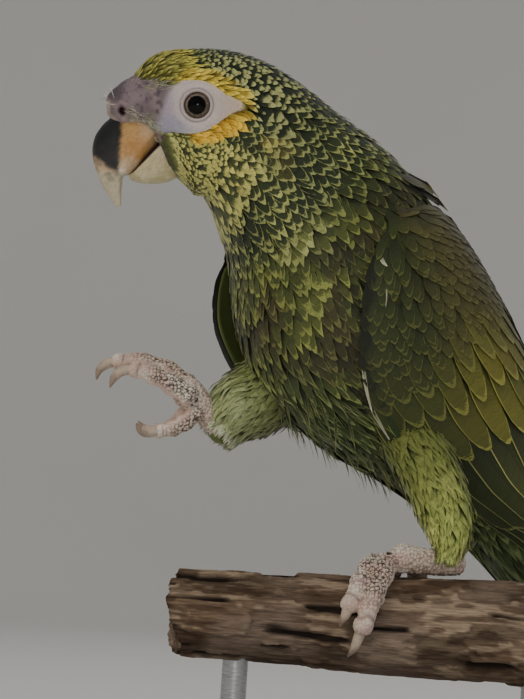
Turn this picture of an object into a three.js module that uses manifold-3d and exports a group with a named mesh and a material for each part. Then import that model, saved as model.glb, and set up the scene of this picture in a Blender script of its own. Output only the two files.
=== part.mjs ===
// A yellow-faced amazon at life size. It stands on its left foot on a short cut length of branch and
// holds its right foot up. A flat base and two rods carry the branch.
// Millimetres, +Z up. The origin is the centre of the base's underside, and the bird looks along -X.

import * as THREE from 'three';
import { mergeVertices } from 'three/addons/utils/BufferGeometryUtils.js';
import Module from 'manifold-3d';

const wasm = await Module();
wasm.setup();

const gap = 0.3; // clear space between neighbouring pieces

const base = { width: 170, depth: 120, height: 9, corner: 14, bevel: 1.5 };
const rod = { radius: 4, sides: 16, places: { left: 48, right: -45 } };
const perch = { axisZ: 84.6, xFrom: -64.5, xTo: 70, radiusFrom: 14, radiusTo: 17.2, sides: 18, steps: 6 };
const ragged = { depth: 2.4, turn: 0.6 }; // the branch's broken left end

// The body is one long form, cut across into head, neck, trunk and rump. Each station gives the centre
// of a cross-section, the way it faces in degrees (yaw turns the tail away, lean tips the back towards
// the tail, roll dips the left side), and its half width and its reach up and down from the centre.
const formStations = [
  { at: [-82.3, -14.0, 235.2], yaw: 6, lean: -28, roll: 12, half: 11.0, up: 17.0, down: 16.0 }, // bill base
  { at: [-76.9, -13.6, 238.9], yaw: 6, lean: -18, roll: 12, half: 13.3, up: 20.4, down: 22.0 }, // lores
  { at: [-69.1, -13.0, 241.4], yaw: 6, lean: -4, roll: 12, half: 14.2, up: 20.0, down: 26.0 }, // eyes
  { at: [-59.6, -12.0, 241.6], yaw: 7, lean: 10, roll: 12, half: 18.0, up: 20.0, down: 27.0 }, // ears
  { at: [-50.1, -10.0, 237.8], yaw: 9, lean: 26, roll: 11, half: 20.5, up: 20.3, down: 28.0 }, // nape
  { at: [-39.2, -6.0, 229.8], yaw: 14, lean: 39, roll: 9, half: 24.5, up: 21.5, down: 31.0 }, // neck
  { at: [-27.9, 1.0, 217.4], yaw: 22, lean: 47, roll: 6, half: 29.5, up: 27.5, down: 35.5 }, // shoulders
  { at: [-17.1, 8.0, 202.3], yaw: 28, lean: 50, roll: 3, half: 32.5, up: 30.5, down: 44.5 }, // breast
  { at: [-3.3, 17.0, 185.7], yaw: 31, lean: 50, roll: 1, half: 33.0, up: 29.5, down: 50.5 }, // belly
  { at: [11.6, 26.0, 167.6], yaw: 32, lean: 50, roll: 0, half: 31.0, up: 28.0, down: 43.6 }, // thighs
  { at: [25.8, 34.0, 149.1], yaw: 32, lean: 50, roll: 0, half: 27.0, up: 26.0, down: 30.0 }, // vent
  { at: [39.6, 41.2, 130.6], yaw: 32, lean: 50, roll: 0, half: 20.5, up: 20.5, down: 19.5 }, // rump
  { at: [49.0, 47.0, 114.8], yaw: 32, lean: 50, roll: 0, half: 16.0, up: 14.0, down: 13.5 }, // tail root
  { at: [73.4, 62.2, 81.4], yaw: 32, lean: 50, roll: 0, half: 16.5, up: 8.0, down: 7.0 }, // tail, halfway
  { at: [97.8, 77.4, 48.0], yaw: 32, lean: 50, roll: 0, half: 15.5, up: 5.0, down: 4.0 }, // tail tip
];
const formRoundness = 2.2; // 2 is an ellipse, more is squarer
const formSides = 32;
const formStep = 0.5; // stations between rings

// Where the form is cut across, counted in stations from the bill base.
const cuts = { headBack: 4.35, neckBack: 6.35, trunkBack: 10.5, rumpBack: 12.35, tailTip: 14 };

// Points of the head are [forward, up] in millimetres from the point midway between the eyes.
const head = { origin: [-69.0, -13.9, 243.1], yaw: 6, roll: 12 };
const eye = { at: [-2.1, -0.7], radius: 5.5, lateral: 9.6, forwardTurn: 10, faces: [12, 8] };
const nostril = { at: [22.8, -4.6], lateral: 6.9, radius: 1.3, faces: [6, 4] };

const cereSections = [
  { top: [12.0, 10.0], bottom: [9.0, -10.5], half: 10.6 },
  { top: [18.5, 8.6], bottom: [14.5, -9.6], half: 9.8 },
  { top: [22.6, 6.2], bottom: [19.5, -9.0], half: 8.6 },
  { top: [25.6, 3.6], bottom: [23.2, -8.4], half: 7.2 },
  { top: [27.4, 1.6], bottom: [26.0, -6.8], half: 5.4 },
  { top: [28.4, -0.4], bottom: [27.8, -4.6], half: 3.0 },
];

const upperBillSections = [
  { top: [23.5, -3.0], bottom: [8.6, -8.8], half: 7.4 },
  { top: [28.0, -7.6], bottom: [11.2, -13.1], half: 7.2 },
  { top: [30.5, -11.3], bottom: [14.0, -16.7], half: 6.7 },
  { top: [31.4, -15.5], bottom: [16.6, -20.7], half: 6.0 },
  { top: [30.9, -19.6], bottom: [18.8, -23.2], half: 5.0 },
  { top: [29.6, -23.2], bottom: [21.0, -24.2], half: 3.8 },
  { top: [27.5, -27.2], bottom: [21.2, -27.8], half: 2.7 },
  { top: [25.0, -30.9], bottom: [21.1, -31.0], half: 1.7 },
  { top: [22.5, -33.8], bottom: [20.9, -33.4], half: 0.8 },
];

const lowerBillSections = [
  { top: [9.0, -11.3], bottom: [2.2, -22.2], half: 7.3 },
  { top: [12.1, -14.9], bottom: [7.4, -24.8], half: 7.0 },
  { top: [15.0, -18.5], bottom: [12.4, -25.8], half: 6.2 },
  { top: [17.4, -21.5], bottom: [16.6, -25.6], half: 4.7 },
  { top: [19.2, -23.2], bottom: [19.2, -24.7], half: 2.8 },
];

// How square each of these sections is, and how far up it is widest.
const profileShapes = {
  cere: { sides: 14, roundness: 2.2, widest: 0.5 },
  upperBill: { sides: 12, roundness: 2.0, widest: 0.18 },
  lowerBill: { sides: 12, roundness: 2.3, widest: 0.88 },
};

// Each folded wing lies on the form. Rows give the station, the angles of its lower and upper edges
// round the form (0 is straight out to the side, 90 is the middle of the back) and its thickness.
// The right wing hangs a little: its front drops by some degrees, stands off the breast by some
// millimetres and lies ahead by part of a station.
const wingRows = [
  { station: 6.62, low: 2, high: 16, thick: 1.6 },
  { station: 6.75, low: -8, high: 34, thick: 3.0 },
  { station: 7.0, low: -17, high: 47, thick: 4.0 },
  { station: 7.5, low: -29, high: 60, thick: 4.6 },
  { station: 8.0, low: -39, high: 69, thick: 4.6 },
  { station: 8.6, low: -49, high: 76, thick: 4.4 },
  { station: 9.2, low: -55, high: 80, thick: 4.2 },
  { station: 9.8, low: -60, high: 83, thick: 4.0 },
  { station: 10.5, low: -61, high: 84, thick: 3.8 },
  { station: 11.2, low: -56, high: 84, thick: 3.6 },
  { station: 11.9, low: -42, high: 84, thick: 3.4 },
  { station: 12.5, low: -22, high: 84, thick: 3.0 },
  { station: 13.0, low: -8, high: 83, thick: 2.4 },
  { station: 13.4, low: 8, high: 80, thick: 1.8 },
  { station: 13.65, low: 24, high: 70, thick: 1.2 },
];
const wingCuts = [
  { name: 'coverts', from: 6.62, to: 8.9 },
  { name: 'secondaries', from: 8.9, to: 11.0 },
  { name: 'primaries', from: 11.0, to: 13.65 },
];
const wingSides = {
  left: { drop: 0, standOff: 0, ahead: 0 },
  right: { drop: 38, standOff: 4.8, ahead: 0.55 },
};
const wingSpan = 10; // faces from the lower edge to the upper edge
const wingEdge = 0.8; // thickness of the edges
const wingBulge = 0.6; // less than 1 keeps the thickness further out to the edges
const wingRest = 0.64; // clear space under the wing
const wingHangFull = 7.3; // the hang is full up to this station and gone at the next
const wingHangEnd = 9.0;

// The tail's half width, thickness, drop below the form's centre, drop of its edges, and the length of
// its rounded tip in stations.
const tail = { half: 15.2, thickness: 3.6, sink: 0.5, arch: 1.6, tipLength: 0.35, sides: 16, steps: 7 };

// Limbs are paths of points, each with the radius of the limb there.
const thighs = {
  left: [
    { at: [-3.0, 15.0, 163.0], r: 12.0 },
    { at: [4.5, 5.5, 147.0], r: 11.4 },
    { at: [12.4, -0.6, 132.5], r: 10.2 },
    { at: [17.6, -3.4, 120.0], r: 8.7 },
    { at: [19.2, -4.4, 111.0], r: 6.0 },
    { at: [18.6, -5.0, 106.0], r: 3.4 },
  ],
  right: [
    { at: [-18.0, 22.0, 176.0], r: 15.0 },
    { at: [-32.5, 16.5, 164.5], r: 14.6 },
    { at: [-42.0, 13.0, 155.5], r: 13.0 },
    { at: [-50.0, 10.5, 149.0], r: 11.2 },
    { at: [-55.0, 9.5, 142.5], r: 7.2 },
  ],
};

const tarsi = {
  left: [
    { at: [22.5, 2.0, 105.0], r: 3.8 },
    { at: [17.0, 1.2, 105.0], r: 4.1 },
    { at: [10.0, -0.6, 105.2], r: 4.2 },
    { at: [4.5, -2.2, 105.6], r: 4.7 },
  ],
  right: [
    { at: [-55.0, 8.6, 143.6], r: 3.9 },
    { at: [-60.5, 6.8, 149.0], r: 4.4 },
    { at: [-66.0, 5.0, 154.0], r: 5.2 },
  ],
};

// Toes of the standing foot wind round the branch. Angles are degrees round it from its top, positive
// on the bird's left side; x is where the toe starts and ends along the branch.
const grippingToes = {
  3: { x: [0.5, -7.6], angle: [12, 92], r: [3.8, 2.9], claw: 34 },
  2: { x: [-3.5, -11.8], angle: [2, 72], r: [3.3, 2.7], claw: 20 },
  4: { x: [9.5, 15.5], angle: [-10, -92], r: [3.3, 2.5], claw: 34 },
  1: { x: [3.5, 2.0], angle: [-14, -66], r: [3.0, 2.4], claw: 32 },
};

// Toes of the raised foot are held open as if round a bar.
const raisedToes = {
  3: {
    path: [[-66.5, 8.0, 157.0], [-74.0, 8.0, 161.4], [-82.5, 7.0, 163.3], [-89.5, 6.0, 162.6]],
    r: [3.5, 3.2, 2.9, 2.5],
    claw: [[-92.4, 5.8, 161.8], [-94.8, 5.6, 159.6], [-95.6, 5.4, 156.4]],
  },
  2: {
    path: [[-65.5, 0.8, 152.5], [-71.5, -0.2, 156.0], [-77.5, -0.8, 158.4], [-83.0, -1.0, 159.6]],
    r: [3.5, 3.3, 3.1, 2.6],
    claw: [[-87.0, -1.0, 158.8], [-89.4, -1.0, 156.4], [-90.4, -0.8, 153.4]],
  },
  4: {
    path: [[-64.5, 10.0, 150.0], [-67.5, 12.6, 146.2], [-71.0, 14.2, 143.2], [-75.4, 14.8, 141.6]],
    r: [3.2, 3.0, 2.8, 2.4],
    claw: [[-78.8, 14.8, 141.0], [-81.0, 14.5, 141.8], [-82.4, 14.2, 143.6]],
  },
  1: {
    path: [[-63.0, 3.4, 147.2], [-66.5, 2.4, 143.6], [-70.0, 2.0, 141.6], [-73.4, 2.0, 140.9]],
    r: [3.0, 2.7, 2.5, 2.2],
    claw: [[-76.6, 2.0, 140.6], [-79.2, 2.0, 141.5], [-80.8, 2.0, 143.4]],
  },
};
const grippingSteps = 5;
const limbSides = { thigh: 12, tarsus: 12, toe: 9, claw: 6 };
const clawRadii = { base: 1.7, middle: 1.2, tip: 0.35 };
const clawLift = { base: 2.2, middle: 2.9, tip: 0.9 }; // off the branch, along a gripping claw
const clawStart = 4; // degrees round the branch from the toe's end to the claw's base
const limbEnd = { narrowing: 0.6, length: 0.5 }; // rounding of a limb's ends, in radii

const finishes = {
  featherDark: { color: 0x3f4a20, roughness: 0.85, metalness: 0 },
  featherMid: { color: 0x5c6b2a, roughness: 0.85, metalness: 0 },
  featherLime: { color: 0x93a552, roughness: 0.9, metalness: 0 },
  featherHead: { color: 0x8a8540, roughness: 0.85, metalness: 0 },
  cereSkin: { color: 0x9c8588, roughness: 0.6, metalness: 0 },
  billHorn: { color: 0x8f7648, roughness: 0.4, metalness: 0 },
  billPale: { color: 0xc4b68c, roughness: 0.4, metalness: 0 },
  eyeball: { color: 0x1c1410, roughness: 0.08, metalness: 0 },
  footSkin: { color: 0xb8a294, roughness: 0.7, metalness: 0 },
  claw: { color: 0x8d7b6c, roughness: 0.4, metalness: 0 },
  wood: { color: 0x7a664f, roughness: 0.9, metalness: 0 },
  standBase: { color: 0x2b2b2c, roughness: 0.5, metalness: 0 },
  standRod: { color: 0x9a9ca0, roughness: 0.35, metalness: 1 },
};

const radians = THREE.MathUtils.degToRad;
const vector = (p) => new THREE.Vector3(p[0], p[1], p[2]);
const parrot = new THREE.Group();

// ---- general shapes ----

// A smooth curve through the values of one field of a list of stations.
function blend(list, field, s) {
  const last = list.length - 1;
  const i = Math.min(Math.floor(s), last - 1);
  const t = s - i;
  const [a, b, c, d] = [-1, 0, 1, 2].map((k) => field(list[Math.min(Math.max(i + k, 0), last)]));
  return 0.5 * (2 * b + (c - a) * t + (2 * a - 5 * b + 4 * c - d) * t * t + (3 * b - a - 3 * c + d) * t ** 3);
}

// The side faces between rings that all have the same number of points.
function ringFaces(rings) {
  const count = rings[0].length;
  const faces = [];
  for (let i = 0; i < rings.length - 1; i += 1) {
    for (let j = 0; j < count; j += 1) {
      const a = i * count + j;
      const b = i * count + ((j + 1) % count);
      faces.push(a, b, b + count, a, b + count, a + count);
    }
  }
  return faces;
}

// A closed body through rings of points, capped at both ends by fans round the middle of each end ring.
function loft(rings) {
  const count = rings[0].length;
  const points = rings.flat();
  const middle = (ring) => ring.reduce((sum, p) => sum.add(p), new THREE.Vector3()).divideScalar(count);
  points.push(middle(rings[0]), middle(rings[rings.length - 1]));
  const firstCap = points.length - 2;
  const lastCap = points.length - 1;
  const faces = ringFaces(rings);
  const end = (rings.length - 1) * count;
  for (let j = 0; j < count; j += 1) {
    const next = (j + 1) % count;
    faces.push(firstCap, next, j, lastCap, end + j, end + next);
  }
  return outward(points, faces);
}

// A closed plate through rings that each go out along one face of it and back along the other. Its
// ends are ladders between the two faces, because a curved plate doesn't hold the middle of its ring.
function plateLoft(rings) {
  const count = rings[0].length;
  const faces = ringFaces(rings);
  const end = (rings.length - 1) * count;
  for (let j = 0; j < count / 2 - 1; j += 1) {
    const [a, b, c, d] = [j, j + 1, count - 2 - j, count - 1 - j];
    faces.push(a, c, b, a, d, c, end + a, end + b, end + c, end + a, end + c, end + d);
  }
  return outward(rings.flat(), faces);
}

// Turns the faces round where they would enclose a negative volume.
function outward(points, faces) {
  let volume = 0;
  for (let i = 0; i < faces.length; i += 3) {
    const [a, b, c] = [points[faces[i]], points[faces[i + 1]], points[faces[i + 2]]];
    volume += a.dot(new THREE.Vector3().crossVectors(b, c));
  }
  const ordered = volume > 0 ? faces : faces.slice().reverse();
  const geometry = new THREE.BufferGeometry();
  geometry.setAttribute('position', new THREE.Float32BufferAttribute(points.flatMap((p) => p.toArray()), 3));
  geometry.setIndex(ordered);
  return geometry;
}

// A superellipse of unit size: the cosine and sine of an angle, made squarer.
function squared(angle, roundness) {
  const power = 2 / roundness;
  const c = Math.cos(angle);
  const s = Math.sin(angle);
  return [Math.sign(c) * Math.abs(c) ** power, Math.sign(s) * Math.abs(s) ** power];
}

// A limb along a smooth path with a round section; grow makes it larger all over.
function limb(points, sides, grow = 0, stepsBetween = 1) {
  const curve = new THREE.CatmullRomCurve3(points.map((p) => vector(p.at)), false, 'centripetal');
  const steps = (points.length - 1) * stepsBetween;
  const frames = curve.computeFrenetFrames(steps, false);
  const rings = [];
  for (let i = 0; i <= steps; i += 1) {
    const along = i / steps;
    const radius = blend(points, (p) => p.r, along * (points.length - 1)) + grow;
    const centre = curve.getPoint(along);
    const tangent = curve.getTangent(along);
    const ring = (scale, shift) => Array.from({ length: sides }, (_, j) => {
      const [c, s] = squared((2 * Math.PI * j) / sides, 2);
      return centre.clone()
        .addScaledVector(tangent, shift)
        .addScaledVector(frames.normals[i], radius * scale * c)
        .addScaledVector(frames.binormals[i], radius * scale * s);
    });
    if (i === 0) rings.push(ring(limbEnd.narrowing, -limbEnd.length * radius));
    rings.push(ring(1, 0));
    if (i === steps) rings.push(ring(limbEnd.narrowing, limbEnd.length * radius));
  }
  return loft(rings);
}

// ---- joining and cutting ----

function solid(geometry) {
  const plain = geometry.clone();
  plain.deleteAttribute('normal');
  plain.deleteAttribute('uv');
  const merged = mergeVertices(plain, 1e-5);
  return new wasm.Manifold(new wasm.Mesh({
    numProp: 3,
    vertProperties: new Float32Array(merged.attributes.position.array),
    triVerts: new Uint32Array(merged.index.array),
  }));
}

function cut(body, ...tools) {
  return tools.reduce((left, tool) => left.subtract(tool), body);
}

function largestPiece(body) {
  const pieces = body.decompose();
  return pieces.reduce((best, piece) => (piece.volume() > best.volume() ? piece : best));
}

function add(name, shape, finish) {
  let geometry = shape;
  if (!shape.isBufferGeometry) {
    const mesh = largestPiece(shape).getMesh();
    geometry = new THREE.BufferGeometry();
    geometry.setAttribute('position', new THREE.Float32BufferAttribute(mesh.vertProperties, 3));
    geometry.setIndex(Array.from(mesh.triVerts));
  }
  geometry.computeVertexNormals();
  const mesh = new THREE.Mesh(geometry, new THREE.MeshStandardMaterial(finishes[finish]));
  mesh.name = name;
  parrot.add(mesh);
}

// ---- the body's form ----

function formFrame(s) {
  const value = (field) => blend(formStations, field, s);
  const yaw = radians(value((p) => p.yaw));
  const lean = radians(value((p) => p.lean));
  const roll = radians(value((p) => p.roll));
  const tailward = new THREE.Vector3(Math.cos(yaw), Math.sin(yaw), 0);
  const side = new THREE.Vector3(Math.sin(yaw), -Math.cos(yaw), 0);
  const up = new THREE.Vector3(0, 0, 1);
  const left = side.clone().multiplyScalar(Math.cos(roll)).addScaledVector(up, -Math.sin(roll));
  const rolledUp = up.multiplyScalar(Math.cos(roll)).addScaledVector(side, Math.sin(roll));
  const dorsal = tailward.multiplyScalar(Math.sin(lean)).addScaledVector(rolledUp, Math.cos(lean));
  return {
    centre: new THREE.Vector3(value((p) => p.at[0]), value((p) => p.at[1]), value((p) => p.at[2])),
    left,
    dorsal,
    half: value((p) => p.half),
    up: value((p) => p.up),
    down: value((p) => p.down),
  };
}

// The point of the form at a station and an angle; 0 is the left side, 90 degrees the back.
function formPoint(s, angle, grow = 0, shift = 0) {
  const f = formFrame(s);
  const [c, d] = squared(angle, formRoundness);
  const reach = (d > 0 ? f.up : f.down) + grow;
  const tailward = new THREE.Vector3().crossVectors(f.dorsal, f.left);
  return f.centre.clone()
    .addScaledVector(f.left, (f.half + grow) * c)
    .addScaledVector(f.dorsal, reach * d)
    .addScaledVector(tailward, shift);
}

// A length of the form between two stations, moved back from each end by half the gap.
function formLength(from, to, step, grow = 0) {
  const count = Math.max(2, Math.round((to - from) / step));
  const rings = [];
  for (let i = 0; i <= count; i += 1) {
    const s = from + ((to - from) * i) / count;
    const inset = gap / 2 - grow;
    let shift = 0;
    if (i === 0) shift = inset;
    if (i === count) shift = -inset;
    rings.push(Array.from({ length: formSides }, (_, j) => (
      formPoint(s, (2 * Math.PI * j) / formSides, grow, shift))));
  }
  return solid(loft(rings));
}

// ---- head ----

const headYaw = radians(head.yaw);
const headRoll = radians(head.roll);
const forward = new THREE.Vector3(-Math.cos(headYaw), -Math.sin(headYaw), 0);
const levelLeft = new THREE.Vector3(Math.sin(headYaw), -Math.cos(headYaw), 0);
const headLeft = levelLeft.clone().multiplyScalar(Math.cos(headRoll))
  .addScaledVector(new THREE.Vector3(0, 0, 1), -Math.sin(headRoll));
const headUp = new THREE.Vector3().crossVectors(headLeft, forward).multiplyScalar(-1);

function headPoint([ahead, above], lateral = 0) {
  return vector(head.origin)
    .addScaledVector(forward, ahead)
    .addScaledVector(headUp, above)
    .addScaledVector(headLeft, lateral);
}

// A body through sections that each stand between a top and a bottom point of the head's profile.
function profileLoft(sections, { sides, roundness, widest }, grow = 0) {
  const rings = [];
  const last = (sections.length - 1) * 2;
  for (let i = 0; i <= last; i += 1) {
    const s = i / 2;
    const top = headPoint([blend(sections, (p) => p.top[0], s), blend(sections, (p) => p.top[1], s)]);
    const bottom = headPoint([blend(sections, (p) => p.bottom[0], s), blend(sections, (p) => p.bottom[1], s)]);
    const half = blend(sections, (p) => p.half, s) + grow;
    const axis = top.clone().sub(bottom);
    const height = axis.length() + 2 * grow;
    axis.normalize();
    const middle = bottom.clone().addScaledVector(axis, height * widest - grow);
    rings.push(Array.from({ length: sides }, (_, j) => {
      const [c, d] = squared((2 * Math.PI * j) / sides, roundness);
      const reach = d > 0 ? height * (1 - widest) : height * widest;
      return middle.clone().addScaledVector(headLeft, half * c).addScaledVector(axis, reach * d);
    }));
  }
  return solid(loft(rings));
}

function eyeCentre(side) {
  const outwards = headLeft.clone().multiplyScalar(side * Math.cos(radians(eye.forwardTurn)))
    .addScaledVector(forward, Math.sin(radians(eye.forwardTurn)));
  return headPoint(eye.at).addScaledVector(outwards, eye.lateral);
}

function ball(centre, radius, across, down) {
  const geometry = new THREE.SphereGeometry(radius, across, down);
  return solid(geometry.translate(centre.x, centre.y, centre.z));
}

function buildHead() {
  const sockets = [1, -1].map((side) => ball(eyeCentre(side), eye.radius + gap, ...eye.faces));
  const skull = formLength(0, cuts.headBack, formStep);
  const skullRoom = formLength(0, cuts.headBack, formStep, gap);
  add('head', cut(skull, ...sockets), 'featherHead');
  add('eye_left', ball(eyeCentre(1), eye.radius, ...eye.faces), 'eyeball');
  add('eye_right', ball(eyeCentre(-1), eye.radius, ...eye.faces), 'eyeball');

  const nostrils = [1, -1].map((side) => (
    ball(headPoint(nostril.at, side * nostril.lateral), nostril.radius, ...nostril.faces)));
  const upper = profileLoft(upperBillSections, profileShapes.upperBill);
  const upperRoom = profileLoft(upperBillSections, profileShapes.upperBill, gap);
  const cere = profileLoft(cereSections, profileShapes.cere);
  const cereRoom = profileLoft(cereSections, profileShapes.cere, gap);
  const lower = profileLoft(lowerBillSections, profileShapes.lowerBill);
  add('cere', cut(cere, skullRoom, ...nostrils), 'cereSkin');
  add('bill_upper', cut(upper, skullRoom, cereRoom), 'billHorn');
  add('bill_lower', cut(lower, skullRoom, upperRoom), 'billPale');
}

// ---- trunk, rump and tail ----

function buildBody() {
  add('neck', formLength(cuts.headBack, cuts.neckBack, formStep), 'featherMid');
  add('trunk', formLength(cuts.neckBack, cuts.trunkBack, formStep), 'featherMid');
  add('rump', formLength(cuts.trunkBack, cuts.rumpBack, formStep), 'featherMid');
}

function buildTail() {
  const { steps } = tail;
  const rings = [];
  for (let i = 0; i <= steps; i += 1) {
    const s = cuts.rumpBack + ((cuts.tailTip - cuts.rumpBack) * i) / steps;
    const f = formFrame(s);
    const left = Math.max(0, s - (cuts.tailTip - tail.tipLength)) / tail.tipLength;
    const half = tail.half * Math.sqrt(1 - 0.75 * left * left);
    const thick = (tail.thickness / 2) * (1 - 0.5 * (i / steps));
    const tailward = new THREE.Vector3().crossVectors(f.dorsal, f.left);
    rings.push(Array.from({ length: tail.sides }, (_, j) => {
      const [c, d] = squared((2 * Math.PI * j) / tail.sides, formRoundness);
      const drop = tail.sink + tail.arch * c * c;
      return f.centre.clone()
        .addScaledVector(f.left, half * c)
        .addScaledVector(f.dorsal, thick * d - drop)
        .addScaledVector(tailward, i === 0 ? gap : 0);
    }));
  }
  add('tail', loft(rings), 'featherDark');
}

// ---- wings ----

// The wing row at a station, between the rows of the table.
function wingRow(s) {
  const next = wingRows.findIndex((row) => row.station >= s - 1e-6);
  const b = wingRows[Math.max(next, 1)];
  const a = wingRows[Math.max(next, 1) - 1];
  const t = (s - a.station) / (b.station - a.station);
  const mix = (key) => a[key] + (b[key] - a[key]) * t;
  return { low: mix('low'), high: mix('high'), thick: mix('thick') };
}

function wingRing(s, sideName, shift, grow) {
  const row = wingRow(s);
  const { drop, standOff, ahead } = wingSides[sideName];
  const hang = THREE.MathUtils.smoothstep(wingHangEnd - s, 0, wingHangEnd - wingHangFull);
  const low = row.low - drop * hang - grow;
  const high = row.high + grow;
  const at = (k, lift) => {
    const angle = radians(low + (high - low) * k);
    const off = wingRest + standOff * hang * (1 - k) ** 2;
    return formPoint(s - ahead * hang, sideName === 'left' ? angle : Math.PI - angle, off + lift, shift);
  };
  const outer = [];
  const inner = [];
  for (let j = 0; j <= wingSpan; j += 1) {
    const k = j / wingSpan;
    const bulge = Math.sin(Math.PI * k) ** wingBulge;
    outer.push(at(k, wingEdge + (row.thick - wingEdge) * bulge + grow));
    inner.unshift(at(k, -grow));
  }
  return outer.concat(inner);
}

// One length of a wing, moved back from each cut by half the gap.
function wingLength(sideName, { from, to }, grow = 0) {
  const places = [...wingRows.map((row) => row.station), ...wingCuts.map((length) => length.from)];
  const between = [...new Set(places)].filter((s) => s > from && s < to).sort((a, b) => a - b);
  const stations = [from, ...between, to];
  const inset = gap / 2 - grow;
  return plateLoft(stations.map((s, i) => {
    let shift = 0;
    if (i === 0) shift = inset;
    if (i === stations.length - 1) shift = -inset;
    return wingRing(s, sideName, shift, grow);
  }));
}

function buildWing(sideName) {
  for (const length of wingCuts) {
    add(`wing_${sideName}_${length.name}`, wingLength(sideName, length), 'featherDark');
  }
}

// ---- legs and feet ----

// The branch's radius at a place along it.
function perchRadius(x) {
  const along = (x - perch.xFrom) / (perch.xTo - perch.xFrom);
  return perch.radiusFrom + (perch.radiusTo - perch.radiusFrom) * along;
}

// A point at a distance off the branch's surface, at an angle from its top.
function onPerch(x, degrees, off) {
  const angle = radians(degrees);
  const reach = perchRadius(x) + off;
  return [x, -reach * Math.sin(angle), perch.axisZ + reach * Math.cos(angle)];
}

function grippingPoints(toe) {
  return Array.from({ length: grippingSteps + 1 }, (_, i) => {
    const t = i / grippingSteps;
    const r = toe.r[0] + (toe.r[1] - toe.r[0]) * t;
    const x = toe.x[0] + (toe.x[1] - toe.x[0]) * t;
    const angle = toe.angle[0] + (toe.angle[1] - toe.angle[0]) * t;
    return { at: onPerch(x, angle, r + gap), r };
  });
}

function grippingClaw(toe) {
  const turn = Math.sign(toe.angle[1]);
  const drift = (toe.x[1] - toe.x[0]) / Math.abs(toe.angle[1] - toe.angle[0]);
  const places = { base: clawStart, middle: 0.55 * toe.claw, tip: toe.claw };
  return Object.entries(places).map(([key, degrees]) => ({
    at: onPerch(toe.x[1] + drift * degrees, toe.angle[1] + turn * degrees, clawLift[key] + gap),
    r: clawRadii[key],
  }));
}

function raisedPoints(toe) {
  return toe.path.map((at, i) => ({ at, r: toe.r[i] }));
}

function raisedClaw(toe) {
  const radii = [clawRadii.base, clawRadii.middle, clawRadii.tip];
  return toe.claw.map((at, i) => ({ at, r: radii[i] }));
}

function buildLeg(sideName, toes, toePoints, clawPoints, blockers) {
  const shank = limb(tarsi[sideName], limbSides.tarsus);
  const shankRoom = solid(limb(tarsi[sideName], limbSides.tarsus, gap));
  const thigh = solid(limb(thighs[sideName], limbSides.thigh));
  add(`thigh_${sideName}`, cut(thigh, shankRoom, ...blockers), 'featherLime');
  add(`tarsus_${sideName}`, shank, 'footSkin');
  const taken = [shankRoom];
  for (const number of [3, 2, 4, 1]) {
    const toe = toes[number];
    const points = toePoints(toe);
    const body = solid(limb(points, limbSides.toe));
    add(`toe_${sideName}_${number}`, cut(body, ...taken), 'footSkin');
    taken.push(solid(limb(points, limbSides.toe, gap)));
  }
  for (const number of [3, 2, 4, 1]) {
    const claw = solid(limb(clawPoints(toes[number]), limbSides.claw, 0, 2));
    add(`claw_${sideName}_${number}`, cut(claw, ...taken), 'claw');
  }
}

function buildLegs() {
  const trunkRoom = formLength(cuts.neckBack, cuts.rumpBack, formStep, gap);
  const wholeWing = { from: wingCuts[0].from, to: wingCuts[2].to };
  const wingRoom = (sideName) => solid(wingLength(sideName, wholeWing, gap));
  buildLeg('left', grippingToes, grippingPoints, grippingClaw, [trunkRoom, wingRoom('left')]);
  buildLeg('right', raisedToes, raisedPoints, raisedClaw, [trunkRoom, wingRoom('right')]);
}

// ---- branch and stand ----

function perchBody(grow = 0) {
  const { steps } = perch;
  const rings = [];
  for (let i = 0; i <= steps; i += 1) {
    const x = perch.xFrom + ((perch.xTo - perch.xFrom) * i) / steps;
    rings.push(Array.from({ length: perch.sides }, (_, j) => {
      const angle = (2 * Math.PI * j) / perch.sides;
      const broken = i === 0 ? ragged.depth * Math.sin(2 * angle + ragged.turn) : 0;
      const reach = perchRadius(x) + grow;
      return new THREE.Vector3(x + broken, reach * Math.sin(angle), perch.axisZ + reach * Math.cos(angle));
    }));
  }
  return loft(rings);
}

function buildStand() {
  const { width, depth, height, corner, bevel } = base;
  const outline = new THREE.Shape();
  const [x, y] = [width / 2 - bevel, depth / 2 - bevel];
  outline.moveTo(-x + corner, -y);
  outline.lineTo(x - corner, -y);
  outline.absarc(x - corner, -y + corner, corner, -Math.PI / 2, 0);
  outline.absarc(x - corner, y - corner, corner, 0, Math.PI / 2);
  outline.absarc(-x + corner, y - corner, corner, Math.PI / 2, Math.PI);
  outline.absarc(-x + corner, -y + corner, corner, Math.PI, 1.5 * Math.PI);
  const plate = new THREE.ExtrudeGeometry(outline, {
    depth: height - 2 * bevel,
    bevelEnabled: true,
    bevelSize: bevel,
    bevelThickness: bevel,
    bevelSegments: 1,
    curveSegments: 3,
  });
  add('stand_base', solid(plate.translate(0, 0, bevel)), 'standBase');
  add('perch', perchBody(), 'wood');
  const perchRoom = solid(perchBody(gap));
  for (const [name, at] of Object.entries(rod.places)) {
    const length = perch.axisZ - height;
    const bar = new THREE.CylinderGeometry(rod.radius, rod.radius, length, rod.sides);
    bar.rotateX(Math.PI / 2).translate(at, 0, height + length / 2);
    add(`stand_rod_${name}`, cut(solid(bar), perchRoom), 'standRod');
  }
}

buildHead();
buildBody();
buildTail();
buildWing('left');
buildWing('right');
buildLegs();
buildStand();

export default parrot;
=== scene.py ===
# A yellow-faced amazon at life size, in feather. It stands on its left foot on a cut length of branch,
# with its right foot raised, and the branch is carried by a plain display stand.
# Shapes are worked out in millimetres with +Z up; angles in the dictionaries are in degrees.
import bpy
import numpy as np
from mathutils import Matrix


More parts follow.
